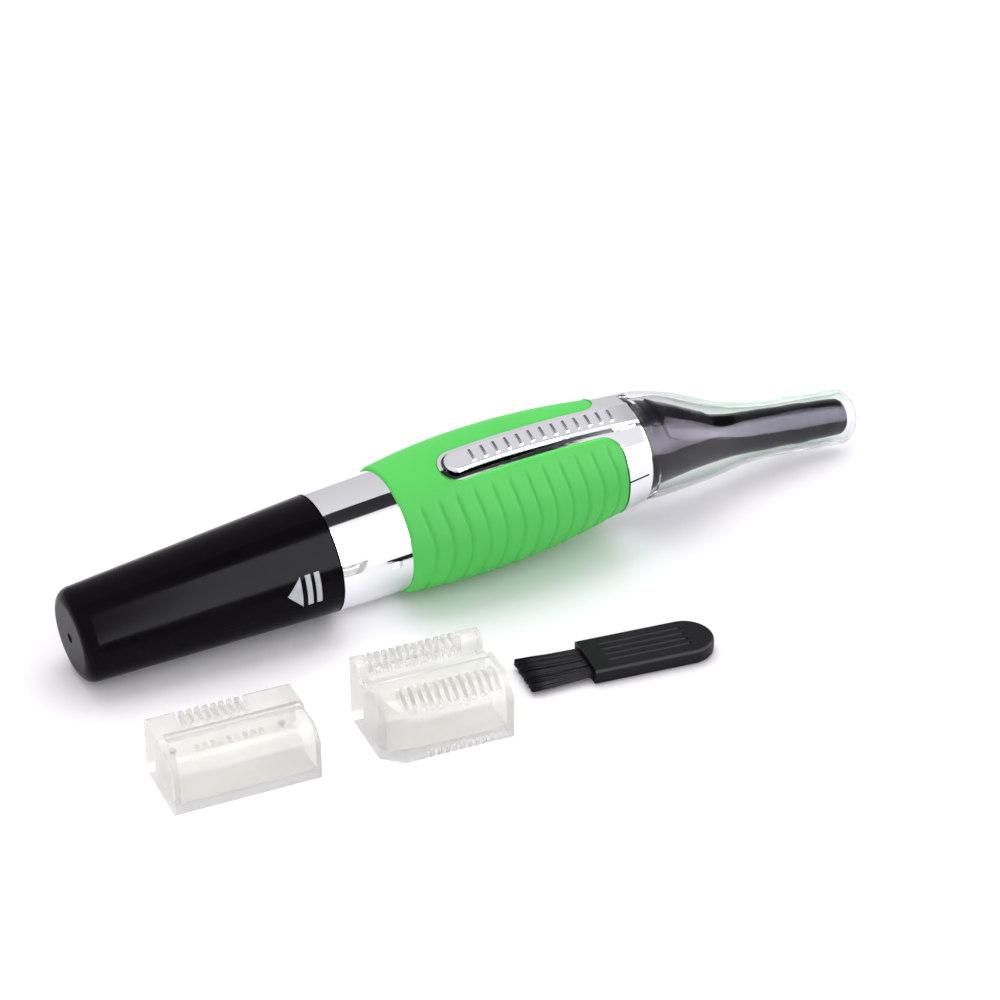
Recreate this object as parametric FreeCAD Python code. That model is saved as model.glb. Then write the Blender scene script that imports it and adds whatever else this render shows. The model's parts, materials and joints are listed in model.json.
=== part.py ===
"""Pen-shaped nose hair trimmer with its two guide combs and cleaning brush.

The trimmer is modelled along its own axis: x runs from the battery cap to the
cutting head, z points out of the slide switch, and x = 0 is the open rim of the
battery cap. It is then laid down as it rests on a table, on the cap's end, the
belly of the grip and the tip of the clear cover. All sizes are in millimetres.
"""
import FreeCAD, Part
import math
import os

V = FreeCAD.Vector
X_AXIS = V(1, 0, 0)
Y_AXIS = V(0, 1, 0)
Z_AXIS = V(0, 0, 1)
ORIGIN = V(0, 0, 0)

# ---- driving dimensions: battery and battery cap ----
cell_radius = 5.25
cell_length = 44.5
cell_shoulder = 0.8
nub_radius = 1.9
nub_height = 0.8
cap_length = 42.0
cap_end_radius = 7.62
cap_rim_radius = 9.75
cap_end_wall = 1.8
cap_end_round = 2.2
cap_dimple_radius = 1.1
cap_dimple_depth = 0.4
cap_bore_radius = 6.75
cap_plate_thickness = 0.3
spring_room = 3.4
spring_wire_radius = 0.28
spring_radius = 3.4
spring_turns = 3
spring_turn_steps = 16
tube_wall = 0.65
tube_setback = 6.5
cell_clearance = 0.2
spigot_radius = 8.0
spigot_length = 9.0
cap_fit = 0.15
seal_section = 0.6
seal_stand = 0.1
seal_setback = 4.5
bay_wall = 1.8
strip_thickness = 0.3
strip_width = 2.0
finger_thickness = 0.2
finger_width = 1.2
finger_overlap = 2.0
contact_gap = 0.05
contact_disc_thickness = 0.4
contact_tail_radius = 0.6

# ---- driving dimensions: handle ----
collar_gap = 0.25
contact_room = 4.15
rear_collar_rear_radius = 9.8
rear_collar_front_radius = 10.1
rear_collar_wall = 1.3
collar_notch_length = 1.8
collar_notch_width = 1.0
collar_notch_depth = 0.8
collar_notch_angle = 68.0
grip_rear_radius = 10.6
grip_belly_radius = 11.83
grip_belly_setback = 16.6
grip_front_radius = 9.8
grip_length = 40.0
chassis_radius = 9.0
chassis_wall = 1.1
chassis_recess_wall = 0.6
switch_floor = 0.1
groove_count = 12
groove_setback = 3.4
groove_pitch = 3.1
groove_radius = 0.75
groove_depth = 0.42
groove_near_angle = 27.0
groove_far_angle = 75.0
front_collar_length = 4.4
front_collar_front_radius = 9.45
front_collar_seam_angle = 66.0
seam_width = 0.3
trim_ring_radius = 8.5
trim_ring_length = 0.7

# ---- driving dimensions: slide switch ----
bezel_half_width = 3.0
bezel_setback = 8.4
bezel_corner_radius = 3.4
bezel_stand = 0.15
switch_half_width = 2.0
switch_taper = 0.2
switch_setback = 1.0
switch_stand = 0.95
switch_edge_round = 0.45
switch_groove = 0.4
switch_underside = 9.4
switch_travel = 3.0
switch_rib_count = 13
switch_rib_pitch = 2.15
switch_rib_width = 0.5
switch_rib_height = 0.22
switch_rib_setback = 4.4
switch_rib_half_length = 1.1
switch_rib_root = 1.0
switch_front_gap = 0.1
stem_setback = 11.4
stem_length = 4.0
stem_half_width = 1.0
stem_root = 0.2
slot_clearance = 0.25
wiper_thickness = 0.25
wiper_overhang = 0.8
board_thickness = 0.6
pad_thickness = 0.12
pad_length = 2.4
pad_half_width = 0.8
pad_pitch = 3.6
pad_count = 3
board_setback = 1.0
board_length = 23.0
board_half_width = 3.0
resistor_radius = 0.6
resistor_length = 2.4
resistor_leg_radius = 0.2

# ---- driving dimensions: motor and drive ----
motor_setback = 7.8
motor_length = 16.0
motor_radius = 6.0
motor_flat = 5.0
motor_wall = 0.5
motor_cap_length = 2.0
motor_boss_radius = 2.0
motor_boss_length = 1.0
motor_hub_radius = 1.5
motor_hub_length = 1.0
terminal_length = 2.5
terminal_thickness = 0.3
terminal_height = 1.4
terminal_offset = 2.6
magnet_inner_radius = 4.3
magnet_half_height = 3.2
magnet_overhang = 0.5
rotor_radius = 3.9
rotor_length = 9.0
rotor_pole_count = 3
rotor_slot_width = 0.8
rotor_hub_radius = 1.9
commutator_radius = 1.9
commutator_length = 2.4
commutator_gap = 2.0
shaft_radius = 0.75
running_clearance = 0.05
shaft_stand = 5.0
cam_length = 2.4
cam_radius = 2.5
cam_front_wall = 0.6
crank_offset = 0.5
crank_pin_radius = 0.5
crank_pin_length = 3.6
saddle_length = 1.5
saddle_setbacks = (2.5, 13.0)
screw_rear_setback = 3.0
screw_front_setback = 2.8
screw_y = 5.2
screw_shank_radius = 0.7
screw_head_radius = 1.25
screw_head_height = 0.9
screw_head_z = -5.2
screw_top_z = 3.6
screw_boss_radius = 1.75
screw_slot_width = 0.4

# ---- driving dimensions: neck, light and cutter ----
neck_flange_radius = 8.0
neck_root_setback = 1.6
neck_root_overlap = 0.4
neck_root_radius = 7.9
neck_fall_length = 18.8
neck_waist_drop = 6.3
neck_waist_radius = 3.74
neck_end_radius = 3.22
neck_bend = 13.8
neck_wall = 0.8
neck_length = 18.6
nose_length = 7.4
nose_edge_round = 0.5
neck_bend_setback = 3.9
neck_taper = 1.13
hood_setback = 3.8
hood_length = 11.4
hood_stand = 0.3
hood_half_width = 4.3
hood_above_centre = 1.4
led_radius = 1.0
led_length = 3.6
led_tilt = 20.0
led_setback = 1.8
led_rise = 4.0
led_fit = 0.1
led_flange_radius = 1.25
led_flange_length = 0.5
lens_radius = 1.3
lens_thickness = 1.6
light_reach = 8.0
led_board_radius = 1.6
led_board_thickness = 0.5
wire_radius = 0.25
wire_y = 2.6
pivot_setback = 3.8
pivot_pin_radius = 0.6
pivot_boss_radius = 1.2
pivot_hub_radius = 1.7
lever_half_width = 0.7
lever_half_height = 0.8
lever_side_gap = 0.55
fork_slot = 3.2
fork_tine = 1.0
fork_length = 3.6
fork_half_height = 1.5
fork_gap = 0.1
blade_thickness = 0.3
blade_gap = 0.03
fixed_blade_half_width = 2.4
moving_blade_half_width = 1.2
blade_slot_clearance = 0.12
blade_setback = 0.3
blade_stand = 0.2
blade_tooth_pitch = 0.6
blade_tooth_gap = 0.28
blade_tooth_depth = 1.2
lever_reach = 3.8
lever_foot_length = 3.6
nose_bore_radius = 2.2
nose_bore_length = 4.4
leaf_thickness = 0.2
leaf_half_width = 0.6
leaf_gap = 0.12
leaf_length = 3.6
leaf_foot = 0.7
blade_screw_setback = 1.8
blade_screw_radius = 0.45
blade_screw_head_radius = 0.85
blade_screw_head_height = 0.5
blade_screw_sink = 0.25
blade_screw_slot_width = 0.3
blade_screw_slot_depth = 0.25
leaf_setback = 0.3

# ---- driving dimensions: clear cover ----
cover_wall = 0.95
cover_tip_radius = 4.85
cover_taper_past_waist = 11.0
cover_rim_wall = 0.6
cover_fit = 0.15
cover_rim_gap = 0.15
cover_seat_length = 2.0
cover_end_gap = 0.4
cover_end_round = 1.8

# ---- driving dimensions: guide combs and brush ----
comb_edge_round = 1.1
comb_channel_width = 7.3
comb_channel_height = 7.0
comb_channel_round = 2.0
comb_floor = 0.8
comb_end_wall = 1.6
comb_slot_width = 0.7
short_comb_slot_depth = 1.4
long_comb_slot_depth = 2.2
comb_pin_radius = 0.6
comb_pin_depth = 0.8
short_comb_length = 22.6
short_comb_width = 13.2
short_comb_height = 9.5
short_comb_shoulder = 2.2
short_comb_step = 0.6
short_comb_step_slope = 0.4
short_comb_teeth = 9
short_comb_pitch = 1.25
short_comb_teeth_x = -1.4
short_comb_back_teeth_y = 2.2
short_comb_front_teeth = (-3.4, -2.2)
short_comb_pins = ((-9.9, -2.2), (7.0, -2.2))
long_comb_length = 20.4
long_comb_width = 15.0
long_comb_height = 11.6
long_comb_trough = 2.6
long_comb_trough_bed = (1.4, 4.3)
long_comb_trough_slope = 0.4
long_comb_front_step = 1.0
long_comb_shoulder = 3.0
long_comb_corner = (4.2, 3.4)
long_comb_pitch = 1.2
long_comb_back_teeth = 13
long_comb_back_teeth_y = 4.9
long_comb_back_teeth_x = -0.7
long_comb_foot_teeth = 11
long_comb_foot_slot = 0.6
long_comb_foot_slot_height = 1.2
long_comb_front_teeth = 12
long_comb_front_pitch = 1.35
long_comb_front_teeth_x = 0.9
long_comb_front_slot_depth = 3.2
long_comb_front_teeth_y = -2.4
long_comb_edge_notches = 10
long_comb_edge_notch_x = 1.9
long_comb_edge_notch_depth = 0.8
long_comb_edge_notch_height = 1.6
long_comb_pins = ((-9.0, 3.5), (9.0, 3.5))
brush_length = 21.3
brush_width = 9.2
brush_thickness = 2.7
brush_edge_round = 0.7
brush_rib_count = 4
brush_rib_pitch = 1.5
brush_rib_depth = 0.35
brush_rib_start = 3.0
brush_rib_length = 13.8
brush_socket_depth = 5.0
brush_socket_margin = 0.9
bristle_length = 10.4
bristle_tuft_count = 4
bristle_tuft_gap = 0.25
bristle_splay = 1.18
bristle_fit = 0.06
bristle_height = 1.5

# ---- working allowances ----
past = 1.0
merge = 0.05

# ---- how the set lies on the table ----
switch_roll = 22.0
short_comb_place = (-30.5, -34.8, -4.3)
long_comb_place = (0.6, -38.3, -5.2)
brush_place = (39.2, -37.5, -8.9)

# ---- sizes that follow from the ones above ----
cell_rear_x = -cap_length + cap_end_wall + cap_plate_thickness + spring_room
cell_front_x = cell_rear_x + cell_length
tube_rear_x = cell_rear_x + tube_setback
tube_inner_radius = cell_radius + cell_clearance
tube_outer_radius = tube_inner_radius + tube_wall
tube_seat_radius = rear_collar_rear_radius - rear_collar_wall
seal_x = -seal_setback
bay_front_x = cell_front_x + contact_gap
rear_collar_end_x = bay_front_x + contact_room
grip_belly_x = rear_collar_end_x + grip_belly_setback
grip_front_x = rear_collar_end_x + grip_length
groove_first_x = rear_collar_end_x + groove_setback
front_collar_end_x = grip_front_x + front_collar_length
chassis_inner_radius = chassis_radius - chassis_wall
bezel_rear_x = rear_collar_end_x + bezel_setback
switch_rear_x = bezel_rear_x + switch_setback
switch_rib_first_x = switch_rear_x + switch_rib_setback
switch_floor_radius = chassis_radius + switch_floor
stem_x = switch_rear_x + stem_setback
motor_rear_x = rear_collar_end_x + motor_setback
motor_front_x = motor_rear_x + motor_length
rotor_rear_x = motor_rear_x + commutator_length + commutator_gap
shaft_front_x = motor_front_x + shaft_stand
cam_rear_x = shaft_front_x - cam_length
pin_rear_x = shaft_front_x + cam_front_wall
fork_x = pin_rear_x + fork_gap
board_rear_x = motor_rear_x + board_setback
board_front_x = board_rear_x + board_length
board_z = motor_flat
pad_z = board_z + board_thickness
wiper_z = pad_z + pad_thickness + contact_gap
stem_foot_z = wiper_z + wiper_thickness
screw_xs = (rear_collar_end_x + screw_rear_setback, grip_front_x - screw_front_setback)
saddle_xs = [motor_rear_x + setback for setback in saddle_setbacks]
neck_root_x = front_collar_end_x + neck_root_setback
neck_bend_x = neck_root_x - neck_bend_setback
neck_waist_x = neck_root_x + neck_fall_length
pivot_x = neck_root_x + pivot_setback
hood_rear_x = neck_root_x + hood_setback
hood_front_x = hood_rear_x + hood_length
bend = math.radians(neck_bend)
neck_dir = V(math.cos(bend), 0, -math.sin(bend))
neck_up = V(math.sin(bend), 0, math.cos(bend))
neck_waist = V(neck_waist_x, 0, -neck_waist_drop)
nose_end_s = neck_length + nose_length
nose_end_x = neck_waist_x + nose_end_s * math.cos(bend)
lever_end_s = neck_length + lever_reach
blade_rear_s = neck_length + blade_setback
blade_front_s = nose_end_s + blade_stand
blade_screw_s = nose_end_s - blade_screw_setback
cover_rim_x = front_collar_end_x + cover_rim_gap
cover_rim_radius = trim_ring_radius + cover_fit
cover_taper_end_x = neck_waist_x + cover_taper_past_waist
cover_end_s = blade_front_s + cover_end_gap + cover_wall
led_dir = V(math.cos(math.radians(led_tilt)), 0, -math.sin(math.radians(led_tilt)))


# ---- small helpers ----
def cylinder(radius, x0, x1, y=0.0, z=0.0):
    """Solid bar along x."""
    return Part.makeCylinder(radius, x1 - x0, V(x0, y, z), X_AXIS)


def tube(outer, inner, x0, x1):
    """Straight pipe along x."""
    return cylinder(outer, x0, x1).cut(cylinder(inner, x0 - past, x1 + past))


def box(x0, x1, y0, y1, z0, z1):
    return Part.makeBox(x1 - x0, y1 - y0, z1 - z0, V(x0, y0, z0))


def rod(start, end, radius):
    """Round bar between two points."""
    run = end - start
    return Part.makeCylinder(radius, run.Length, start, run)


def revolve(points):
    """Solid of revolution about x of a closed outline of (x, radius) points."""
    wire = Part.makePolygon([V(x, 0, r) for x, r in points + points[:1]])
    return Part.Face(wire).revolve(ORIGIN, X_AXIS, 360)


def sector(shape, angle_from, angle_to, reach=80.0):
    """Part of a shape between two angles about x, counted from +z towards -y."""
    corners = [V(-reach, 0, 0), V(2 * reach, 0, 0), V(2 * reach, 0, reach), V(-reach, 0, reach)]
    page = Part.Face(Part.makePolygon(corners + corners[:1]))
    wedge = page.revolve(ORIGIN, X_AXIS, angle_to - angle_from)
    wedge.rotate(ORIGIN, X_AXIS, angle_from)
    return shape.common(wedge)


def grip_radius(x):
    """Radius of the barrel's outer curve: two parabolas that meet at the belly."""
    if x < grip_belly_x:
        span = grip_belly_x - rear_collar_end_x
        fall = grip_belly_radius - grip_rear_radius
    else:
        span = grip_front_x - grip_belly_x
        fall = grip_belly_radius - grip_front_radius
    return grip_belly_radius - fall * ((x - grip_belly_x) / span) ** 2


def grip_page(x0, x1, inner, stand=0.0):
    """Face on the plane y = 0 between a straight line and the grip's curve, raised by stand."""
    count = 9
    step = (x1 - x0) / (count - 1)
    points = [V(x0 + i * step, 0, grip_radius(x0 + i * step) + stand) for i in range(count)]
    curve = Part.BSplineCurve()
    curve.interpolate(points)
    corners = [points[-1], V(x1, 0, inner), V(x0, 0, inner), points[0]]
    edges = [curve.toShape()]
    edges += [Part.makeLine(a, b) for a, b in zip(corners, corners[1:])]
    return Part.Face(Part.Wire(edges))


def barrel(x0, x1, inner, stand=0.0):
    """Ring whose outside follows the grip's curve, raised by stand."""
    return grip_page(x0, x1, inner, stand).revolve(ORIGIN, X_AXIS, 360)


def on_neck(s, y, up):
    """Point given along, across and above the straight part of the neck."""
    return neck_waist + neck_dir * s + Y_AXIS * y + neck_up * up


def neck_box(s0, s1, y0, y1, up0, up1):
    """Box lined up with the straight part of the neck."""
    shape = box(s0, s1, y0, y1, up0, up1)
    shape.rotate(ORIGIN, Y_AXIS, neck_bend)
    shape.translate(neck_waist)
    return shape


def neck_bar(radius, s0, s1):
    """Round bar lined up with the straight part of the neck."""
    return rod(on_neck(s0, 0, 0), on_neck(s1, 0, 0), radius)


def neck_centre(x):
    """Height of the neck's centre line: a smooth fall into the bend, then straight."""
    if x > neck_waist_x:
        return -neck_waist_drop - (x - neck_waist_x) * math.tan(bend)
    run = neck_waist_x - neck_bend_x
    t = max(x - neck_bend_x, 0.0) / run
    cubic = run * math.tan(bend) - 2 * neck_waist_drop
    square = neck_waist_drop - cubic
    return -(square * t ** 2 + cubic * t ** 3)


def neck_radius(x):
    """Outer radius of the neck and nose."""
    if x > neck_waist_x:
        share = (x - neck_waist_x) / (nose_end_x - neck_waist_x)
        return neck_waist_radius - (neck_waist_radius - neck_end_radius) * share
    t = max(x - neck_root_x, 0.0) / (neck_waist_x - neck_root_x)
    return neck_waist_radius + (neck_root_radius - neck_waist_radius) * (1 - t) ** neck_taper


def cover_radius(x):
    """Outer radius of the clear cover, easing from its rim down to its straight tip."""
    share = min((x - cover_rim_x) / (cover_taper_end_x - cover_rim_x), 1.0)
    ease = (1 + math.cos(math.pi * share)) / 2
    rim = cover_rim_radius + cover_rim_wall
    return cover_tip_radius + (rim - cover_tip_radius) * ease


def neck_direction(x):
    step = 0.2
    return V(2 * step, 0, neck_centre(x + step) - neck_centre(x - step))


def neck_x(s):
    return on_neck(s, 0, 0).x


def nose_radius(s):
    """Outer radius of the straight part of the neck, s along it from the waist."""
    return neck_radius(neck_x(s))


def ring_wire(centre, direction, radius):
    """Circle square to the neck, always started from the same side so that lofts stay untwisted."""
    ring = Part.Wire(Part.makeCircle(radius, ORIGIN, X_AXIS))
    ring.rotate(ORIGIN, Y_AXIS, math.degrees(math.atan2(-direction.z, direction.x)))
    ring.translate(centre)
    return ring


def neck_loft(radius_at, grow, x0, x1):
    """Solid along the neck's curve between two places, its radius law raised by grow."""
    count = 10
    wires = []
    for i in range(count):
        x = x0 + (x1 - x0) * i / (count - 1)
        direction = X_AXIS if i == 0 else neck_direction(x)
        wires.append(ring_wire(V(x, 0, neck_centre(x)), direction, radius_at(x) + grow))
    return Part.makeLoft(wires, True, False)


def rounded_bar(radius, s0, s1, edge_round):
    """Round bar along the straight part of the neck with a rounded far edge."""
    bar = cylinder(radius, s0, s1)
    far = [e for e in bar.Edges if e.BoundBox.XMin > s1 - merge]
    bar = bar.makeFillet(edge_round, far)
    bar.rotate(ORIGIN, Y_AXIS, neck_bend)
    bar.translate(neck_waist)
    return bar


def strip_plan(rear_x, front_x, half_width, taper=0.0):
    """Tall block with the plan shape of the switch: round at the rear, open to the front."""
    nose = V(rear_x, 0, 0)
    arc = Part.Arc(V(rear_x + half_width, half_width, 0), nose, V(rear_x + half_width, -half_width, 0))
    front = [V(front_x, -half_width - taper, 0), V(front_x, half_width + taper, 0)]
    sides = [V(rear_x + half_width, -half_width, 0)] + front + [V(rear_x + half_width, half_width, 0)]
    edges = [arc.toShape()] + [Part.makeLine(a, b) for a, b in zip(sides, sides[1:])]
    return Part.Face(Part.Wire(edges)).extrude(Z_AXIS * 2 * grip_belly_radius)


def ring_slices(count, first, pitch):
    return [first + i * pitch for i in range(count)]


def solids_of(shapes):
    return Part.makeCompound(shapes)


# ---- battery, cap and contacts ----
def make_battery_cap():
    rear = -cap_length
    body = revolve([(rear, 0), (rear, cap_end_radius), (0, cap_rim_radius), (0, 0)])
    end_edges = [e for e in body.Edges if abs(e.BoundBox.XMax - rear) < 0.01 and e.Closed]
    body = body.makeFillet(cap_end_round, end_edges)
    bore = cylinder(cap_bore_radius, rear + cap_end_wall, past)
    mouth = cylinder(spigot_radius + cap_fit, -spigot_length - cap_fit, past)
    dimple = Part.makeSphere(cap_dimple_radius, V(rear - cap_dimple_radius + cap_dimple_depth, 0, 0))
    return body.cut(bore).cut(mouth).cut(dimple)


def make_cap_contact():
    rear = -cap_length + cap_end_wall
    plate = cylinder(cap_bore_radius - cap_fit, rear, rear + cap_plate_thickness)
    top = tube_outer_radius + strip_thickness + contact_gap
    finger = box(rear, tube_rear_x + finger_overlap, -finger_width / 2, finger_width / 2,
                 -top - finger_thickness, -top)
    return plate.fuse(finger).removeSplitter()


def make_cap_spring():
    rear = -cap_length + cap_end_wall + cap_plate_thickness
    span = cell_rear_x - rear - 2 * spring_wire_radius
    steps = spring_turns * spring_turn_steps
    line = []
    for i in range(steps + 1):
        turn = 2 * math.pi * i / spring_turn_steps
        line.append(V(rear + spring_wire_radius + span * i / steps,
                      spring_radius * math.sin(turn), spring_radius * math.cos(turn)))
    curve = Part.BSplineCurve()
    curve.interpolate(line)
    start = Part.Wire(Part.makeCircle(spring_wire_radius, line[0], curve.tangent(0)[0]))
    return Part.Wire(curve.toShape()).makePipeShell([start], True, True)


def make_battery_cell():
    can_front = cell_front_x - nub_height
    return revolve([
        (cell_rear_x, 0),
        (cell_rear_x, cell_radius - cell_shoulder / 2),
        (cell_rear_x + cell_shoulder / 2, cell_radius),
        (can_front - cell_shoulder, cell_radius),
        (can_front, cell_radius - cell_shoulder),
        (can_front, nub_radius),
        (cell_front_x, nub_radius),
        (cell_front_x, 0),
    ])


def make_battery_tube():
    sleeve = cylinder(tube_outer_radius, tube_rear_x, 0)
    spigot = cylinder(spigot_radius, -spigot_length, collar_gap)
    seat = cylinder(tube_seat_radius, collar_gap, rear_collar_end_x)
    body = sleeve.fuse([spigot, seat])
    cell_bore_end_x = bay_front_x + contact_disc_thickness
    body = body.cut(cylinder(tube_inner_radius, tube_rear_x - past, cell_bore_end_x))
    body = body.cut(cylinder(tube_inner_radius, bay_front_x + bay_wall, rear_collar_end_x + past))
    body = body.cut(cylinder(contact_tail_radius, bay_front_x, rear_collar_end_x + past))
    groove = tube(spigot_radius + past, spigot_radius + seal_stand - seal_section, seal_x,
                  seal_x + seal_section)
    channel = box(-spigot_length - past, bay_front_x + bay_wall, -strip_width / 2, strip_width / 2,
                  -tube_outer_radius - strip_thickness, -tube_outer_radius)
    return body.cut(groove).cut(channel).removeSplitter()


def make_cap_seal():
    return tube(spigot_radius + seal_stand, spigot_radius + seal_stand - seal_section, seal_x,
                seal_x + seal_section)


def make_negative_strip():
    return box(tube_rear_x, bay_front_x + bay_wall, -strip_width / 2, strip_width / 2,
               -tube_outer_radius - strip_thickness, -tube_outer_radius)


def make_positive_contact():
    disc = cylinder(tube_inner_radius - contact_gap, bay_front_x, bay_front_x + contact_disc_thickness)
    tail = cylinder(contact_tail_radius, bay_front_x, rear_collar_end_x + terminal_thickness)
    return disc.fuse(tail).removeSplitter()


# ---- handle ----
def make_rear_collar():
    shell = revolve([
        (collar_gap, tube_seat_radius),
        (collar_gap, rear_collar_rear_radius),
        (rear_collar_end_x, rear_collar_front_radius),
        (rear_collar_end_x, tube_seat_radius),
    ])
    front = rear_collar_end_x - collar_notch_length
    notch = box(front - collar_notch_length, front,
                -collar_notch_width / 2, collar_notch_width / 2,
                rear_collar_front_radius - collar_notch_depth, rear_collar_front_radius + past)
    notch.rotate(ORIGIN, X_AXIS, collar_notch_angle)
    return shell.cut(notch)


def screw_places():
    return [(x, y) for x in screw_xs for y in (-screw_y, screw_y)]


def stem_slot():
    return box(stem_x - slot_clearance, stem_x + stem_length + switch_travel + slot_clearance,
               -stem_half_width - slot_clearance, stem_half_width + slot_clearance,
               motor_radius, 2 * chassis_radius)


def make_chassis(upper):
    """One half of the inner barrel, with motor saddles and screw bosses."""
    shell = tube(chassis_radius, chassis_inner_radius, rear_collar_end_x, grip_front_x)
    envelope = cylinder(chassis_inner_radius, rear_collar_end_x, grip_front_x)
    inside = []
    for x in saddle_xs:
        inside.append(tube(chassis_inner_radius, motor_radius, x, x + saddle_length))
    for x, y in screw_places():
        post = Part.makeCylinder(screw_boss_radius, 2 * chassis_radius, V(x, y, -chassis_radius))
        inside.append(post.common(envelope))
    body = shell.fuse(inside).removeSplitter()
    reach = 2 * chassis_radius
    if upper:
        body = body.common(box(0, 2 * grip_front_x, -reach, reach, 0, reach))
        body = body.cut(stem_slot())
        half = board_half_width + slot_clearance
        body = body.cut(box(board_rear_x, board_front_x, -half, half,
                            0, chassis_inner_radius - chassis_recess_wall))
    else:
        body = body.common(box(0, 2 * grip_front_x, -reach, reach, -reach, 0))
    for x, y in screw_places():
        body = body.cut(Part.makeCylinder(screw_shank_radius, screw_top_z - screw_head_z,
                                          V(x, y, screw_head_z)))
        body = body.cut(Part.makeCylinder(screw_head_radius, reach,
                                          V(x, y, screw_head_z), Z_AXIS * -1))
    return body


def make_chassis_screws():
    screws = []
    for x, y in screw_places():
        head = Part.makeCylinder(screw_head_radius, screw_head_height,
                                 V(x, y, screw_head_z - screw_head_height))
        shank = Part.makeCylinder(screw_shank_radius, screw_top_z - screw_head_z,
                                  V(x, y, screw_head_z))
        half = screw_slot_width / 2
        cross = box(x - screw_head_radius, x + screw_head_radius, y - half, y + half,
                    screw_head_z - screw_head_height, screw_head_z - screw_head_height / 2)
        screws.append(head.fuse(shank).removeSplitter().cut(cross))
    return solids_of(screws)


def bezel_plan():
    """Plan block of the bezel: the frame round the switch, flaring into the collar."""
    plan = strip_plan(bezel_rear_x, grip_front_x, bezel_half_width)
    for side in (-1, 1):
        inner = side * bezel_half_width
        outer = side * (bezel_half_width + bezel_corner_radius)
        corner = box(grip_front_x - bezel_corner_radius, grip_front_x, min(inner, outer),
                     max(inner, outer), 0, 2 * grip_belly_radius)
        round_off = Part.makeCylinder(bezel_corner_radius, 2 * grip_belly_radius,
                                      V(grip_front_x - bezel_corner_radius, outer, 0))
        plan = plan.fuse(corner.cut(round_off))
    return plan.removeSplitter()


def make_grip_sleeve():
    sleeve = barrel(rear_collar_end_x, grip_front_x, chassis_radius)
    for x in ring_slices(groove_count, groove_first_x, groove_pitch):
        centre = V(x, 0, grip_radius(x) + groove_radius - groove_depth)
        disc = Part.Face(Part.Wire(Part.makeCircle(groove_radius, centre, Y_AXIS)))
        ring = disc.revolve(ORIGIN, X_AXIS, 360 - groove_near_angle - groove_far_angle)
        ring.rotate(ORIGIN, X_AXIS, groove_near_angle)
        sleeve = sleeve.cut(ring)
    return sleeve.cut(bezel_plan())


def collar_ring():
    return revolve([
        (grip_front_x, neck_flange_radius),
        (grip_front_x, grip_front_radius + bezel_stand),
        (front_collar_end_x, front_collar_front_radius),
        (front_collar_end_x, neck_flange_radius),
    ])


def switch_pocket():
    """Room for the switch bar and the shadow gap round it, down to its floor."""
    plan = strip_plan(switch_rear_x - switch_groove, front_collar_end_x + past,
                      switch_half_width + switch_groove, switch_taper)
    return plan.cut(cylinder(switch_floor_radius, grip_front_x, front_collar_end_x + 2 * past))


def make_switch_bezel():
    frame = barrel(bezel_rear_x - past, grip_front_x, chassis_radius, bezel_stand).common(bezel_plan())
    half = front_collar_seam_angle
    top = sector(collar_ring(), -half, half)
    return frame.fuse(top).cut(switch_pocket())


def make_front_collar():
    seam = math.degrees(seam_width / front_collar_front_radius)
    half = front_collar_seam_angle
    return sector(collar_ring(), half + seam, 360 - half - seam)


def make_trim_ring():
    return tube(trim_ring_radius, neck_flange_radius, front_collar_end_x,
                front_collar_end_x + trim_ring_length)


# ---- slide switch ----
def make_switch_slider():
    front = front_collar_end_x - switch_front_gap
    plan = strip_plan(switch_rear_x, front, switch_half_width, switch_taper)
    page = grip_page(switch_rear_x - past, front, switch_underside, switch_stand)
    page.translate(V(0, -bezel_half_width, 0))
    bar = page.extrude(Y_AXIS * 2 * bezel_half_width).common(plan)
    crown = max(bar.Faces, key=lambda face: face.CenterOfMass.z)
    rim = [e for e in crown.Edges if e.BoundBox.XMin < front - past]
    bar = bar.makeFillet(switch_edge_round, rim)
    ribs = []
    for x in ring_slices(switch_rib_count, switch_rib_first_x, switch_rib_pitch):
        top = grip_radius(x) + switch_stand
        ribs.append(box(x, x + switch_rib_width, -switch_rib_half_length, switch_rib_half_length,
                        top - switch_rib_root, top + switch_rib_height))
    stem = box(stem_x, stem_x + stem_length, -stem_half_width, stem_half_width,
               stem_foot_z, switch_underside + stem_root)
    return bar.fuse(ribs + [stem]).removeSplitter()


def make_switch_board():
    return box(board_rear_x, board_front_x, -board_half_width, board_half_width,
               board_z, board_z + board_thickness)


def make_switch_pads():
    pads = []
    for i in range(pad_count):
        x = stem_x - wiper_overhang - pad_length / 2 + i * pad_pitch
        pads.append(box(x, x + pad_length, -pad_half_width, pad_half_width,
                        pad_z, pad_z + pad_thickness))
    return solids_of(pads)


def make_switch_wiper():
    return box(stem_x - wiper_overhang, stem_x + stem_length + wiper_overhang,
               -pad_half_width, pad_half_width, wiper_z, wiper_z + wiper_thickness)


def make_led_resistor():
    x = board_front_x - 2 * resistor_radius
    half = resistor_length / 2
    body = Part.makeCylinder(resistor_radius, resistor_length, V(x, -half, pad_z + resistor_radius),
                             Y_AXIS)
    legs = [Part.makeCylinder(resistor_leg_radius, resistor_radius, V(x, y, pad_z))
            for y in (-half + 2 * resistor_leg_radius, half - 2 * resistor_leg_radius)]
    return body.fuse(legs).removeSplitter()


# ---- motor and drive ----
def motor_section(radius, flat, x0, x1):
    round_part = cylinder(radius, x0, x1)
    return round_part.common(box(x0, x1, -radius, radius, -flat, flat))


def make_motor_can():
    front = motor_front_x
    shell = motor_section(motor_radius, motor_flat, motor_rear_x, front)
    boss = cylinder(motor_boss_radius, front, front + motor_boss_length)
    hollow = motor_section(motor_radius - motor_wall, motor_flat - motor_wall,
                           motor_rear_x, front - motor_wall)
    shaft_hole = cylinder(shaft_radius + running_clearance, motor_rear_x,
                          front + motor_boss_length + past)
    return shell.fuse(boss).removeSplitter().cut(hollow.removeSplitter()).cut(shaft_hole)


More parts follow.
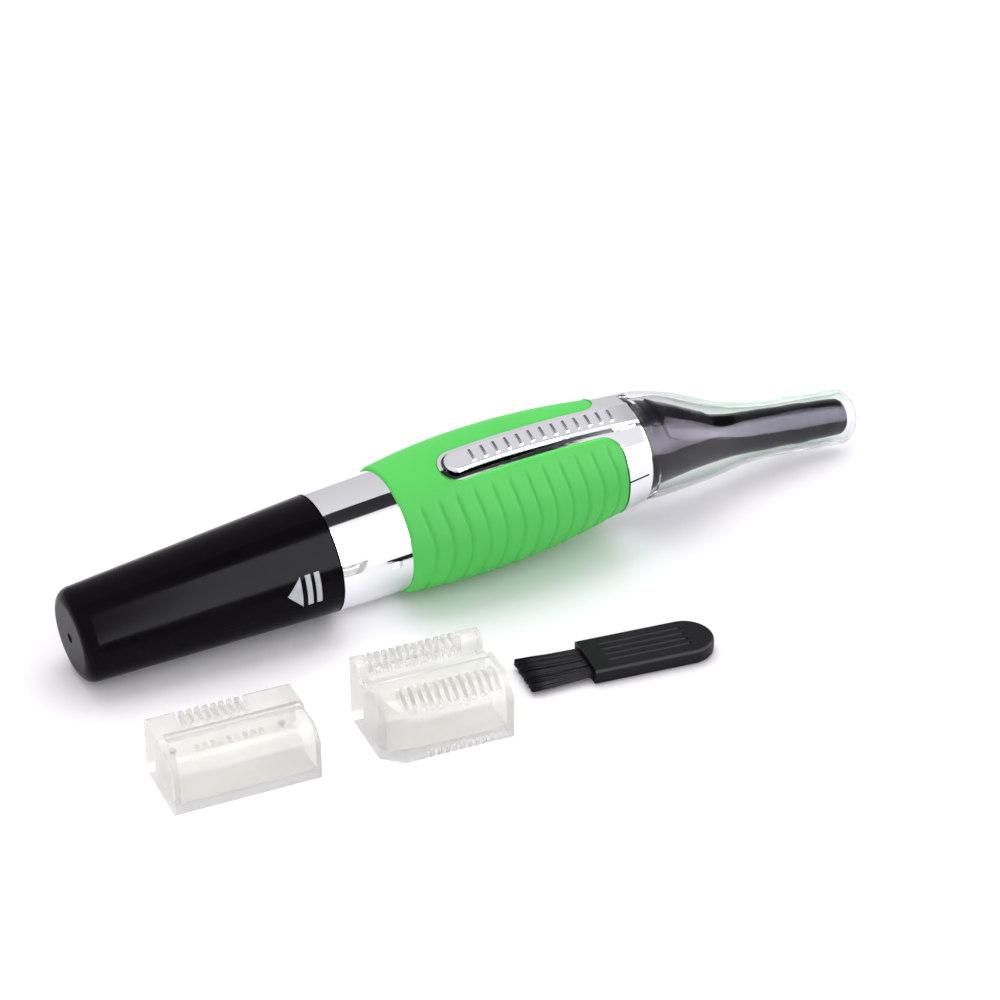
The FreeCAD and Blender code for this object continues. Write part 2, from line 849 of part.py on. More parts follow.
def make_motor_end_cap():
    plate = motor_section(motor_radius, motor_flat, motor_rear_x - motor_cap_length, motor_rear_x)
    hub = cylinder(motor_hub_radius, motor_rear_x, motor_rear_x + motor_hub_length)
    hole = cylinder(shaft_radius + running_clearance, motor_rear_x - motor_cap_length / 2,
                    motor_rear_x + motor_hub_length + past)
    return plate.fuse(hub).removeSplitter().cut(hole)


def make_motor_terminals():
    front = motor_rear_x - motor_cap_length
    tabs = []
    for side in (-1, 1):
        y = side * terminal_offset
        tabs.append(box(front - terminal_length, front, y - terminal_thickness / 2,
                        y + terminal_thickness / 2, -terminal_height / 2, terminal_height / 2))
    return solids_of(tabs)


def make_motor_magnets():
    x0 = rotor_rear_x - magnet_overhang
    x1 = rotor_rear_x + rotor_length + magnet_overhang
    ring = tube(motor_radius - motor_wall, magnet_inner_radius, x0, x1)
    sides = []
    for y0, y1 in ((-motor_radius, 0), (0, motor_radius)):
        sides.append(ring.common(box(x0, x1, y0, y1, -magnet_half_height, magnet_half_height)))
    return solids_of(sides)


def make_motor_rotor():
    x0 = rotor_rear_x
    x1 = x0 + rotor_length
    core = cylinder(rotor_radius, x0, x1)
    half = rotor_slot_width / 2
    for i in range(rotor_pole_count):
        slot = box(x0 - past, x1 + past, -half, half, rotor_hub_radius, rotor_radius + past)
        slot.rotate(ORIGIN, X_AXIS, 360 / rotor_pole_count * i)
        core = core.cut(slot)
    commutator = cylinder(commutator_radius, x0 - commutator_length / 2, x0)
    bore = cylinder(shaft_radius, x0 - commutator_length, x1 + past)
    return core.fuse(commutator).removeSplitter().cut(bore)


def make_motor_shaft():
    return cylinder(shaft_radius, motor_rear_x - motor_cap_length / 2 + running_clearance,
                    shaft_front_x)


def make_crank():
    hub = cylinder(cam_radius, cam_rear_x, pin_rear_x)
    pin = cylinder(crank_pin_radius, pin_rear_x, pin_rear_x + crank_pin_length, 0, crank_offset)
    bore = cylinder(shaft_radius, cam_rear_x - past, shaft_front_x)
    return hub.fuse(pin).removeSplitter().cut(bore)


def lever_line():
    """Centre line of the lever bar, down through the bend to the blades."""
    steps = 4
    span = (neck_waist_x - pivot_x) / steps
    xs = [fork_x + fork_length + fork_tine] + [pivot_x + i * span for i in range(steps + 1)]
    return [V(x, 0, neck_centre(x)) for x in xs]


def make_drive_lever():
    up = V(0, 0, lever_half_height)
    foot_s = lever_end_s - lever_foot_length
    top = [p + up for p in lever_line()] + [on_neck(lever_end_s, 0, lever_half_height)]
    bottom = [p - up for p in lever_line()]
    bottom += [on_neck(foot_s - lever_half_height, 0, -lever_half_height),
               on_neck(foot_s, 0, 0), on_neck(lever_end_s, 0, 0)]
    outline = top + bottom[::-1]
    page = Part.Face(Part.makePolygon(outline + outline[:1]))
    page.translate(V(0, -lever_half_width, 0))
    bar = page.extrude(Y_AXIS * 2 * lever_half_width)
    hub = Part.makeCylinder(pivot_hub_radius, 2 * lever_half_height,
                            V(pivot_x, 0, neck_centre(pivot_x) - lever_half_height))
    side = fork_slot / 2 + fork_tine
    block = box(fork_x, fork_x + fork_length + 2 * fork_tine, -side, side,
                -fork_half_height, fork_half_height)
    slot = box(fork_x - past, fork_x + fork_length, -fork_slot / 2, fork_slot / 2,
               -2 * fork_half_height, 2 * fork_half_height)
    reach = 2 * neck_root_radius
    hole = Part.makeCylinder(pivot_pin_radius + running_clearance, 2 * reach, V(pivot_x, 0, -reach))
    return bar.fuse([hub, block]).removeSplitter().cut(slot).cut(hole)


def make_pivot_pin():
    low = neck_centre(pivot_x) - neck_radius(pivot_x) + neck_wall
    high = neck_centre(pivot_x) + neck_radius(pivot_x) - neck_wall
    return Part.makeCylinder(pivot_pin_radius, high - low, V(pivot_x, 0, low))


# ---- neck, light and cutter ----
led_front_x = hood_front_x - led_setback
led_front = V(led_front_x, 0, neck_centre(led_front_x) + led_rise)
led_back = led_front - led_dir * (led_length + led_flange_length)
board_back = led_back - led_dir * led_board_thickness


def light_room():
    """Space for the lamp, its board and its lens, cut through the neck and the hood."""
    barrel_room = rod(board_back, led_front + led_dir * merge, led_radius + led_fit)
    flange_room = rod(board_back, led_back + led_dir * (led_flange_length + led_fit),
                      led_board_radius + led_fit)
    lens_room = rod(led_front, led_front + led_dir * light_reach, lens_radius)
    return barrel_room.fuse([flange_room, lens_room]).removeSplitter()


def hood_block():
    """Wedge that trims the hood to the upper side of the neck."""
    corners = []
    for x in (hood_rear_x, hood_front_x):
        corners.append(V(x, -hood_half_width, neck_centre(x) + hood_above_centre))
    rise = V(0, 0, neck_root_radius * 2)
    outline = corners + [corners[1] + rise, corners[0] + rise]
    return Part.Face(Part.makePolygon(outline + outline[:1])).extrude(Y_AXIS * 2 * hood_half_width)


def neck_outside():
    flange = cylinder(neck_flange_radius, grip_front_x, neck_root_x + neck_root_overlap)
    return flange.fuse(neck_loft(neck_radius, 0, neck_root_x, neck_x(neck_length)))


def make_neck_housing():
    body = neck_outside()
    body = body.cut(cylinder(neck_root_radius - neck_wall, grip_front_x - past, neck_root_x + merge))
    hollow = neck_loft(neck_radius, -neck_wall, neck_root_x, neck_x(neck_length) + merge)
    body = body.cut(hollow).cut(light_room())
    centre = neck_centre(pivot_x)
    gap = lever_half_height + lever_side_gap
    reach = neck_radius(pivot_x) - neck_wall / 2
    bosses = [
        Part.makeCylinder(pivot_boss_radius, reach - gap, V(pivot_x, 0, centre + gap)),
        Part.makeCylinder(pivot_boss_radius, reach - gap, V(pivot_x, 0, centre - reach)),
    ]
    return body.fuse(bosses).cut(make_pivot_pin())


def make_light_hood():
    swollen = neck_loft(neck_radius, hood_stand, neck_root_x, neck_x(neck_length))
    return swollen.common(hood_block()).cut(neck_outside()).cut(light_room())


def make_led():
    body = rod(led_back, led_front - led_dir * led_radius, led_radius)
    dome = Part.makeSphere(led_radius, led_front - led_dir * led_radius)
    flange = rod(led_back, led_back + led_dir * led_flange_length, led_flange_radius)
    return body.fuse([dome, flange]).removeSplitter()


def make_led_board():
    return rod(board_back, led_back, led_board_radius)


def make_light_lens():
    blank = rod(led_front + led_dir * led_fit, led_front + led_dir * (led_fit + lens_thickness),
                lens_radius)
    return blank.common(neck_loft(neck_radius, hood_stand, neck_root_x, neck_x(neck_length)))


def make_led_wires():
    wires = []
    for side in (-1, 1):
        start = V(board_front_x + wire_radius, side * wire_y, board_z + board_thickness / 2)
        end = board_back + V(-wire_radius, side * (led_board_radius - wire_radius), 0)
        wires.append(rod(start, end, wire_radius))
    return solids_of(wires)


def make_motor_wires():
    wires = []
    for side in (-1, 1):
        foot = V(motor_rear_x - motor_cap_length - terminal_length / 2, side * terminal_offset,
                 terminal_height / 2)
        corner = V(foot.x, foot.y, board_z + board_thickness / 2)
        bend_ball = Part.makeSphere(wire_radius, corner)
        run = rod(corner, V(board_rear_x, corner.y, corner.z), wire_radius)
        wires.append(rod(foot, corner, wire_radius).fuse([bend_ball, run]).removeSplitter())
    return solids_of(wires)


def blade_plate(half_width, up0, up1, s0, s1):
    """Flat blade with a row of teeth at its front edge."""
    plate = neck_box(s0, s1, -half_width, half_width, up0, up1)
    count = int((half_width - blade_tooth_pitch / 2) / blade_tooth_pitch)
    for i in range(-count, count + 1):
        y = i * blade_tooth_pitch
        plate = plate.cut(neck_box(s1 - blade_tooth_depth, s1 + past, y - blade_tooth_gap / 2,
                                   y + blade_tooth_gap / 2, up0 - past, up1 + past))
    return plate


def make_moving_blade():
    return blade_plate(moving_blade_half_width, -blade_thickness, 0, blade_rear_s, blade_front_s)


def make_fixed_blade():
    top = -blade_thickness - blade_gap
    plate = blade_plate(fixed_blade_half_width, top - blade_thickness, top, blade_rear_s,
                        blade_front_s)
    return plate.cut(blade_screw_solid())


def blade_screw_solid():
    top = -blade_thickness - blade_gap
    bottom = -nose_radius(blade_screw_s) + blade_screw_sink
    shank = rod(on_neck(blade_screw_s, 0, bottom), on_neck(blade_screw_s, 0, top),
                blade_screw_radius)
    head = rod(on_neck(blade_screw_s, 0, bottom),
               on_neck(blade_screw_s, 0, bottom + blade_screw_head_height), blade_screw_head_radius)
    return shank.fuse(head).removeSplitter()


def make_blade_screw():
    bottom = -nose_radius(blade_screw_s) + blade_screw_sink
    half = blade_screw_slot_width / 2
    slot = neck_box(blade_screw_s - past, blade_screw_s + past, -half, half, bottom - past,
                    bottom + blade_screw_slot_depth)
    return blade_screw_solid().cut(slot)


def make_nose():
    start = nose_end_s - 2 * nose_edge_round
    tip = rounded_bar(nose_radius(start), start - nose_edge_round, nose_end_s, nose_edge_round)
    wires = [ring_wire(on_neck(s, 0, 0), neck_dir, nose_radius(s)) for s in (neck_length, start)]
    body = Part.makeLoft(wires, True, True).fuse(tip).removeSplitter()
    body = body.cut(neck_bar(nose_bore_radius, neck_length - past, neck_length + nose_bore_length))
    side = fixed_blade_half_width
    body = body.cut(neck_box(neck_length - past, nose_end_s + past, -side, side,
                             -2 * blade_thickness - blade_gap, blade_slot_clearance))
    low = -nose_radius(blade_screw_s)
    sink = rod(on_neck(blade_screw_s, 0, low - past), on_neck(blade_screw_s, 0, low + blade_screw_sink),
               blade_screw_head_radius)
    return body.cut(blade_screw_solid()).cut(sink)


def make_blade_spring():
    low = lever_half_height + leaf_gap
    rear = neck_length + leaf_setback
    leaf = neck_box(rear, rear + leaf_length, -leaf_half_width, leaf_half_width,
                    low, low + leaf_thickness)
    foot = neck_box(rear, rear + leaf_foot, -leaf_half_width, leaf_half_width, low, nose_bore_radius)
    bore = neck_bar(nose_bore_radius, neck_length, neck_length + nose_bore_length)
    return leaf.fuse(foot).removeSplitter().common(bore)


def make_clear_cover():
    start = cover_end_s - 2 * cover_end_round
    tip = rounded_bar(cover_tip_radius, start, cover_end_s, cover_end_round)
    outside = neck_loft(cover_radius, 0, cover_rim_x, neck_x(start)).fuse(tip)
    inside = neck_loft(cover_radius, -cover_wall, cover_rim_x + cover_seat_length - merge,
                       neck_x(blade_front_s + cover_end_gap))
    seat = cylinder(cover_rim_radius, cover_rim_x - past, cover_rim_x + cover_seat_length)
    return outside.cut(inside).cut(seat)


# ---- guide combs and brush ----
def extrude_profile(profile, length):
    """Solid along x, centred, from a closed outline of (y, z) points."""
    corners = [V(-length / 2, y, z) for y, z in profile + profile[:1]]
    return Part.Face(Part.makePolygon(corners)).extrude(X_AXIS * length)


def outer_edges(shape, length, reach):
    """Lengthwise edges that stand at least reach away from the middle plane."""
    return [e for e in shape.Edges if abs(e.Length - length) < merge
            and e.BoundBox.XLength > length / 2 and abs(e.CenterOfMass.y) > reach]


def comb_channel(length):
    """Arched socket for the trimmer's nose, open at one end of the comb."""
    x0 = -length / 2 + comb_end_wall
    top = comb_floor + comb_channel_height
    socket = box(x0, length, -comb_channel_width / 2, comb_channel_width / 2, comb_floor, top)
    upper = [e for e in socket.Edges if e.BoundBox.ZMin > top - merge
             and e.BoundBox.XLength > length / 2]
    return socket.makeFillet(comb_channel_round, upper)


def comb_slots(count, pitch, middle_x, y0, y1, z0, z1):
    """Row of slots square to the comb's length."""
    slots = []
    for x in ring_slices(count, middle_x - (count - 1) * pitch / 2, pitch):
        slots.append(box(x - comb_slot_width / 2, x + comb_slot_width / 2, y0, y1, z0, z1))
    return slots


def pin_holes(places, top):
    return [Part.makeCylinder(comb_pin_radius, comb_pin_depth + past, V(x, y, top - comb_pin_depth))
            for x, y in places]


def make_short_comb():
    half = short_comb_width / 2
    top = short_comb_height
    deck = top - short_comb_step
    body = extrude_profile([
        (-half, 0),
        (half, 0),
        (half, top),
        (0, top),
        (-short_comb_step_slope, deck),
        (-half + short_comb_shoulder, deck),
        (-half, top - short_comb_shoulder),
    ], short_comb_length)
    body = body.makeFillet(comb_edge_round, outer_edges(body, short_comb_length, half - merge))
    low = top - short_comb_slot_depth
    cuts = [comb_channel(short_comb_length)]
    cuts += comb_slots(short_comb_teeth, short_comb_pitch, short_comb_teeth_x,
                       short_comb_back_teeth_y, half + past, low, top + past)
    cuts += comb_slots(short_comb_teeth, short_comb_pitch, short_comb_teeth_x,
                       short_comb_front_teeth[0], short_comb_front_teeth[1], low, top + past)
    return body.cut(cuts + pin_holes(short_comb_pins, deck))


def corner_wedge(length, half, top):
    """Upright wedge that slants the comb's front corner at its closed end."""
    along, across = long_comb_corner
    corners = [V(-length / 2 - past, -half - past, -past), V(-length / 2 + along, -half - past, -past),
               V(-length / 2 + along, -half, -past), V(-length / 2, -half + across, -past),
               V(-length / 2 - past, -half + across, -past)]
    return Part.Face(Part.makePolygon(corners + corners[:1])).extrude(Z_AXIS * (top + 2 * past))


def make_long_comb():
    half = long_comb_width / 2
    top = long_comb_height
    bed = top - long_comb_trough
    front_top = top - long_comb_front_step
    bed_front, bed_back = long_comb_trough_bed
    body = extrude_profile([
        (-half, 0),
        (half, 0),
        (half, top),
        (bed_back + long_comb_trough_slope, top),
        (bed_back, bed),
        (bed_front, bed),
        (bed_front - long_comb_trough_slope, front_top),
        (-half + long_comb_shoulder, front_top),
        (-half, front_top - long_comb_shoulder),
    ], long_comb_length)
    reach = half - long_comb_shoulder - merge
    body = body.makeFillet(comb_edge_round, outer_edges(body, long_comb_length, reach))
    body = body.cut(corner_wedge(long_comb_length, half, top))
    cuts = [comb_channel(long_comb_length)]
    cuts += comb_slots(long_comb_back_teeth, long_comb_pitch, long_comb_back_teeth_x,
                       long_comb_back_teeth_y, half + past, top - long_comb_slot_depth, top + past)
    cuts += comb_slots(long_comb_foot_teeth, long_comb_pitch, long_comb_back_teeth_x,
                       bed_back - merge, bed_back + long_comb_foot_slot,
                       bed + merge, bed + long_comb_foot_slot_height)
    cuts += comb_slots(long_comb_front_teeth, long_comb_front_pitch, long_comb_front_teeth_x,
                       -half - past, long_comb_front_teeth_y,
                       top - long_comb_front_slot_depth, top + past)
    cuts += comb_slots(long_comb_edge_notches, long_comb_pitch, long_comb_edge_notch_x,
                       -half - past, -half + long_comb_edge_notch_depth,
                       -past, long_comb_edge_notch_height)
    return body.cut(cuts + pin_holes(long_comb_pins, bed))


def make_brush_handle():
    half = brush_width / 2
    rear = -brush_length / 2
    slab = box(rear, brush_length / 2 - half, -half, half, 0, brush_thickness)
    end = Part.makeCylinder(half, brush_thickness, V(brush_length / 2 - half, 0, 0))
    body = slab.fuse(end).removeSplitter()
    rims = [e for e in body.Edges if e.BoundBox.ZLength < merge and e.BoundBox.XMax > rear + merge]
    body = body.makeFillet(brush_edge_round, rims)
    start = rear + brush_rib_start
    first = -(brush_rib_count - 1) * brush_rib_pitch / 2
    for y in ring_slices(brush_rib_count, first, brush_rib_pitch):
        groove = cylinder(brush_rib_depth, start, start + brush_rib_length, y, brush_thickness)
        body = body.cut(groove)
    return body.cut(brush_socket())


def brush_socket():
    side = brush_width / 2 - brush_socket_margin
    middle = brush_thickness / 2
    return box(-brush_length / 2 - past, -brush_length / 2 + brush_socket_depth, -side, side,
               middle - bristle_height / 2, middle + bristle_height / 2)


def make_brush_bristles():
    """Tufts side by side, each splayed a little wider at its free end."""
    side = brush_width / 2 - brush_socket_margin - bristle_fit
    step = 2 * side / bristle_tuft_count
    half = (step - bristle_tuft_gap) / 2
    high = bristle_height / 2 - bristle_fit
    middle = brush_thickness / 2
    mouth_x = -brush_length / 2
    tufts = []
    for i in range(bristle_tuft_count):
        y = -side + (i + 0.5) * step
        root = rectangle(mouth_x + brush_socket_depth, y, middle, half, high)
        mouth = rectangle(mouth_x, y, middle, half, high)
        tip = rectangle(mouth_x - bristle_length, y * bristle_splay, middle, half * bristle_splay, high)
        tufts.append(Part.makeLoft([root, mouth, tip], True, True))
    return solids_of(tufts)


def rectangle(x, y, z, half_y, half_z):
    corners = [V(x, y - half_y, z - half_z), V(x, y + half_y, z - half_z),
               V(x, y + half_y, z + half_z), V(x, y - half_y, z + half_z)]
    return Part.makePolygon(corners + corners[:1])


# ---- how it lies ----
def lowest_point(x, radius, pitch):
    return x * math.sin(pitch) - radius * math.cos(pitch)


def rest_pitch():
    """Nose-up angle at which the cap's end and the grip's belly both touch the table."""
    round_x = -cap_length + cap_end_round
    cone = math.atan2(cap_rim_radius - cap_end_radius, cap_length)
    round_r = cap_end_radius - cap_end_round * math.tan(math.pi / 4 - cone / 2)
    belly_places = ring_slices(200, rear_collar_end_x, (grip_front_x - rear_collar_end_x) / 200)
    low, high = 0.0, bend
    for _ in range(50):
        pitch = (low + high) / 2
        rear = lowest_point(round_x, round_r, pitch) - cap_end_round
        belly = min(lowest_point(x, grip_radius(x), pitch) for x in belly_places)
        if rear > belly:
            low = pitch
        else:
            high = pitch
    return pitch


pitch_angle = rest_pitch()
trimmer_place = FreeCAD.Placement(ORIGIN, FreeCAD.Rotation(Y_AXIS, -math.degrees(pitch_angle)))
trimmer_place *= FreeCAD.Placement(ORIGIN, FreeCAD.Rotation(X_AXIS, switch_roll))


def table_place(place):
    x, y, turn = place
    return FreeCAD.Placement(V(x, y, 0), FreeCAD.Rotation(Z_AXIS, turn))


trimmer_pieces = {
    "battery_cap": make_battery_cap(),
    "cap_contact": make_cap_contact(),
    "cap_spring": make_cap_spring(),
    "battery_cell": make_battery_cell(),
    "battery_tube": make_battery_tube(),
    "cap_seal": make_cap_seal(),
    "negative_strip": make_negative_strip(),
    "positive_contact": make_positive_contact(),
    "rear_collar": make_rear_collar(),
    "chassis_upper": make_chassis(True),
    "chassis_lower": make_chassis(False),
    "chassis_screws": make_chassis_screws(),
    "grip_sleeve": make_grip_sleeve(),
    "switch_bezel": make_switch_bezel(),
    "front_collar": make_front_collar(),
    "trim_ring": make_trim_ring(),
    "switch_slider": make_switch_slider(),
    "switch_wiper": make_switch_wiper(),
    "switch_board": make_switch_board(),
    "switch_pads": make_switch_pads(),
    "led_resistor": make_led_resistor(),
    "motor_can": make_motor_can(),
    "motor_end_cap": make_motor_end_cap(),
    "motor_terminals": make_motor_terminals(),
    "motor_magnets": make_motor_magnets(),
    "motor_rotor": make_motor_rotor(),
    "motor_shaft": make_motor_shaft(),
    "crank": make_crank(),
    "drive_lever": make_drive_lever(),
    "lever_pivot": make_pivot_pin(),
    "neck_housing": make_neck_housing(),
    "light_hood": make_light_hood(),
    "led": make_led(),
    "led_board": make_led_board(),
    "light_lens": make_light_lens(),
    "led_wires": make_led_wires(),
    "motor_wires": make_motor_wires(),
    "nose": make_nose(),
    "fixed_blade": make_fixed_blade(),
    "moving_blade": make_moving_blade(),
    "blade_spring": make_blade_spring(),
    "blade_screw": make_blade_screw(),
    "clear_cover": make_clear_cover(),
}
table_pieces = {
    "short_comb": (make_short_comb(), short_comb_place),
    "long_comb": (make_long_comb(), long_comb_place),
    "brush_handle": (make_brush_handle(), brush_place),
    "brush_bristles": (make_brush_bristles(), brush_place),
}

nodes = {}
for name, shape in trimmer_pieces.items():
    nodes[name] = shape.transformed(trimmer_place.toMatrix())
handle_bounds = Part.makeCompound(list(nodes.values())).optimalBoundingBox()
for name in nodes:
    nodes[name] = nodes[name].translated(V(0, 0, -handle_bounds.ZMin))
for name, (shape, place) in table_pieces.items():
    nodes[name] = shape.transformed(table_place(place).toMatrix())
bounds = Part.makeCompound(list(nodes.values())).optimalBoundingBox()
centre_shift = V(-bounds.Center.x, -bounds.Center.y, 0)

os.makedirs("parts", exist_ok=True)
for name, shape in nodes.items():
    nodes[name] = shape.translated(centre_shift)
    nodes[name].exportStep("parts/" + name + ".step")
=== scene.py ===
"""Looks of the nose hair trimmer, its two guide combs and its cleaning brush.

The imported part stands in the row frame, in metres. The trimmer's own pieces are
built in its body frame, in millimetres: it starts in the middle of the battery
cap's rim, x runs towards the cutter and z points out of the slide switch. Angles
round the body are counted in degrees from z towards the side that faces the combs.
"""
import json
import math
import random

import bmesh
import bpy
from mathutils import Matrix, Vector


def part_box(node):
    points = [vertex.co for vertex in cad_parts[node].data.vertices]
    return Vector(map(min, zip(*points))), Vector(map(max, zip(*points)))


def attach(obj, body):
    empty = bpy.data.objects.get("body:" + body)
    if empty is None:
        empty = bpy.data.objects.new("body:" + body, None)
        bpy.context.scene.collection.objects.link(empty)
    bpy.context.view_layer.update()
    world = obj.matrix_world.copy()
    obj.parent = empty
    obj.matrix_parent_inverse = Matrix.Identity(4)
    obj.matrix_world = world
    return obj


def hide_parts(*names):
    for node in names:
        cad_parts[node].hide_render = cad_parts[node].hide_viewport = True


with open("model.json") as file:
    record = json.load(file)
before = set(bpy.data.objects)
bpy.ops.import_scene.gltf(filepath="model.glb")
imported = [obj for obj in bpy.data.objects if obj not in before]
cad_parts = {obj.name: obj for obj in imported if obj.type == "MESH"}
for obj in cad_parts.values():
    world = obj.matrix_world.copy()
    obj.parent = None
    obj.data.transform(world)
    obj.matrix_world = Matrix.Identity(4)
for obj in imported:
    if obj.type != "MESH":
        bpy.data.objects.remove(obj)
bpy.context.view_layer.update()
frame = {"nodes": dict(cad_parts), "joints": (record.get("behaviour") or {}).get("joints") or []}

# ---- frames ----
MM = 0.001
joints = {joint["name"]: joint for joint in frame["joints"]}
body_x = Vector(joints["rotor_spin"]["axis"]).normalized()
body_z = Vector(joints["lever_swing"]["axis"]).normalized()
body_y = body_z.cross(body_x)
body_origin = Vector(joints["rotor_spin"]["pos_m"])
body_turn = Matrix((body_x, body_y, body_z)).transposed().to_4x4()
body_frame = Matrix.Translation(body_origin) @ body_turn @ Matrix.Scale(MM, 4)

# ---- sizes and counts of the pieces made here, in mm and degrees ----
sleeve_rear_radius = 10.6
sleeve_belly_radius = 11.83
sleeve_front_radius = 9.8
sleeve_inner_radius = 9.0
sleeve_belly_setback = 16.6
sleeve_edge_round = 0.5
sleeve_lip_drop = 0.16
sleeve_lip_width = 0.4
bezel_half_width = 3.0
bezel_corner_radius = 3.4
rib_setback = 3.4
rib_pitch = 3.1
rib_count = 12
rib_depth = 0.4
rib_fullness = 6.0
near_rib_fade = (20.0, 32.0)
far_rib_fade = (74.0, 88.0)
wave_amplitude = 0.42
wave_peak_angle = 67.0
wave_angle = 82.0
wave_fade_from = 118.0
wave_fade_to = 152.0
cap_rim_radius = 9.75
cap_end_radius = 7.62
cap_length = 42.0
mark_angle = 65.0
mark_half_angle = 16.5
mark_stand = 0.02
arrow_tip_x = -9.3
arrow_base_x = -6.8
bar_places = ((-6.0, -5.1), (-4.5, -3.6))
switch_stand = 0.95
switch_rib_count = 13
switch_rib_setback = 4.4
switch_rib_pitch = 2.15
switch_rib_width = 0.5
switch_rib_height = 0.22
switch_rib_half_length = 1.1
pad_margin = 0.03
pin_radius = 0.55
pin_sides = 20
pin_floor_thickness = 0.12
brush_turn = -8.9
strands_per_tuft = 64
strand_radius = 0.11
strand_tip_radius = 0.09
strand_spread = 0.1
strand_unevenness = 0.12
strand_height_spread = 0.2
strand_sides = 5
strand_steps = 6
strand_seed = 7
root_tolerance = 0.01
sleeve_columns = 180
sleeve_station_count = 240
sleeve_corner_steps = 8
station_tolerance = 0.001
opening_side_angle = 60.0
far_from_opening = 9.0
mark_steps_across = 24
mark_steps_along = 6
arrow_tip_share = 0.98
short_comb_turn = -4.3
short_comb_pins = ((-9.9, -2.2), (7.0, -2.2))
short_comb_pin_floor = 8.1
long_comb_turn = -5.2
long_comb_pins = ((-9.0, 3.5), (9.0, 3.5))
long_comb_pin_floor = 8.2
seam_tolerance = 1e-6     # metres


# ---- small helpers ----
def node_extent(node, place):
    """Lowest and highest coordinates of a CAD node in another frame."""
    back = place.inverted()
    points = [back @ v.co for v in frame["nodes"][node].data.vertices]
    low = Vector([min(p[i] for p in points) for i in range(3)])
    high = Vector([max(p[i] for p in points) for i in range(3)])
    return low, high


def smooth_step(low, high, value):
    t = min(max((value - low) / (high - low), 0.0), 1.0)
    return t * t * (3 - 2 * t)


def around(x, radius, angle):
    """Point at an angle round the body, in its frame."""
    a = math.radians(angle)
    return Vector((x, -radius * math.sin(a), radius * math.cos(a)))


def add_piece(name, points, faces, material, place):
    """Mesh object whose points are given in the frame that place describes."""
    mesh = bpy.data.meshes.new(name)
    mesh.from_pydata([tuple(p) for p in points], [], faces)
    mesh.transform(place)
    mesh.validate()
    mesh.materials.append(material)
    mesh.shade_smooth()
    piece = bpy.data.objects.new(name, mesh)
    bpy.context.scene.collection.objects.link(piece)
    return piece


# ---- shader helpers ----
def feed(tree, socket, source):
    """Links a socket to another node's output, or sets it to a plain value."""
    if isinstance(source, bpy.types.NodeSocket):
        tree.links.new(source, socket)
    else:
        socket.default_value = source


def add_node(tree, kind, output, inputs=None, **settings):
    """Adds a node with its settings and inputs, and returns one of its outputs."""
    node = tree.nodes.new("ShaderNode" + kind)
    for name, value in settings.items():
        setattr(node, name, value)
    for name, source in (inputs or {}).items():
        feed(tree, node.inputs[name], source)
    return node.outputs[output]


def math_node(tree, operation, first, second):
    return add_node(tree, "Math", "Value", {0: first, 1: second}, operation=operation)


def remap(tree, value, source, target=(0.0, 1.0)):
    """Value carried from one range to another, and held at its ends."""
    return add_node(tree, "MapRange", "Result",
                    {"Value": value, "From Min": source[0], "From Max": source[1],
                     "To Min": target[0], "To Max": target[1]})


def mix_colours(tree, share, first, second):
    """The first colour where share is 0, the second where it is 1."""
    return add_node(tree, "Mix", "Result", {"Factor": share, "A": first, "B": second},
                    data_type="RGBA")


def colour_ramp(tree, share, stops):
    """Colour that runs through (position, colour) stops."""
    ramp = tree.nodes.new("ShaderNodeValToRGB")
    elements = ramp.color_ramp.elements
    for element, (position, colour) in zip(elements, (stops[0], stops[-1])):
        element.position = position
        element.color = (*colour, 1.0)
    for position, colour in stops[1:-1]:
        elements.new(position).color = (*colour, 1.0)
    feed(tree, ramp.inputs["Fac"], share)
    return ramp.outputs["Color"]


def noise(tree, scale):
    """Noise over the object's own coordinates; scale is in turns per metre."""
    place = add_node(tree, "TexCoord", "Object")
    return add_node(tree, "TexNoise", "Fac",
                    {"Vector": place, "Scale": scale, "Detail": noise_detail})


# ---- finishes ----
noise_detail = 3.0
noise_range = (0.3, 0.7)        # the part of its range that the noise mostly fills
# painted shade on the clear cover's edges, and a painted green reflection of the grip along its
# top
edge_shade = (0.18, 0.18, 0.20)
edge_painted_reflection = (0.10, 0.56, 0.20)
edge_power = 2.2
painted_reflection_heights = (0.3, 0.7)       # share of the surface normal that points up
painted_reflection_stretch = (0.030, 0.046)   # metres along the table
cover_lamp_tint = (0.93, 0.94, 0.94)
comb_lamp_tint = (0.82, 0.83, 0.81)


def finish(name, dark, light, gloss, grain=900.0, patch=60.0, bump=0.0, **sockets):
    """Surface whose colour and gloss drift a little, with a fine grain in its relief."""
    material = bpy.data.materials.new(name)
    material.use_nodes = True
    tree = material.node_tree
    shader = tree.nodes["Principled BSDF"]
    drift = noise(tree, patch)
    stops = tuple(zip(noise_range, (dark, light)))
    feed(tree, shader.inputs["Base Color"], colour_ramp(tree, drift, stops))
    feed(tree, shader.inputs["Roughness"], remap(tree, drift, noise_range, gloss))
    if bump:
        relief = add_node(tree, "Bump", "Normal", {"Strength": 1.0, "Distance": bump * MM,
                                                   "Height": noise(tree, grain)})
        feed(tree, shader.inputs["Normal"], relief)
    for socket, value in sockets.items():
        shader.inputs[socket.replace("_", " ")].default_value = value
    return material


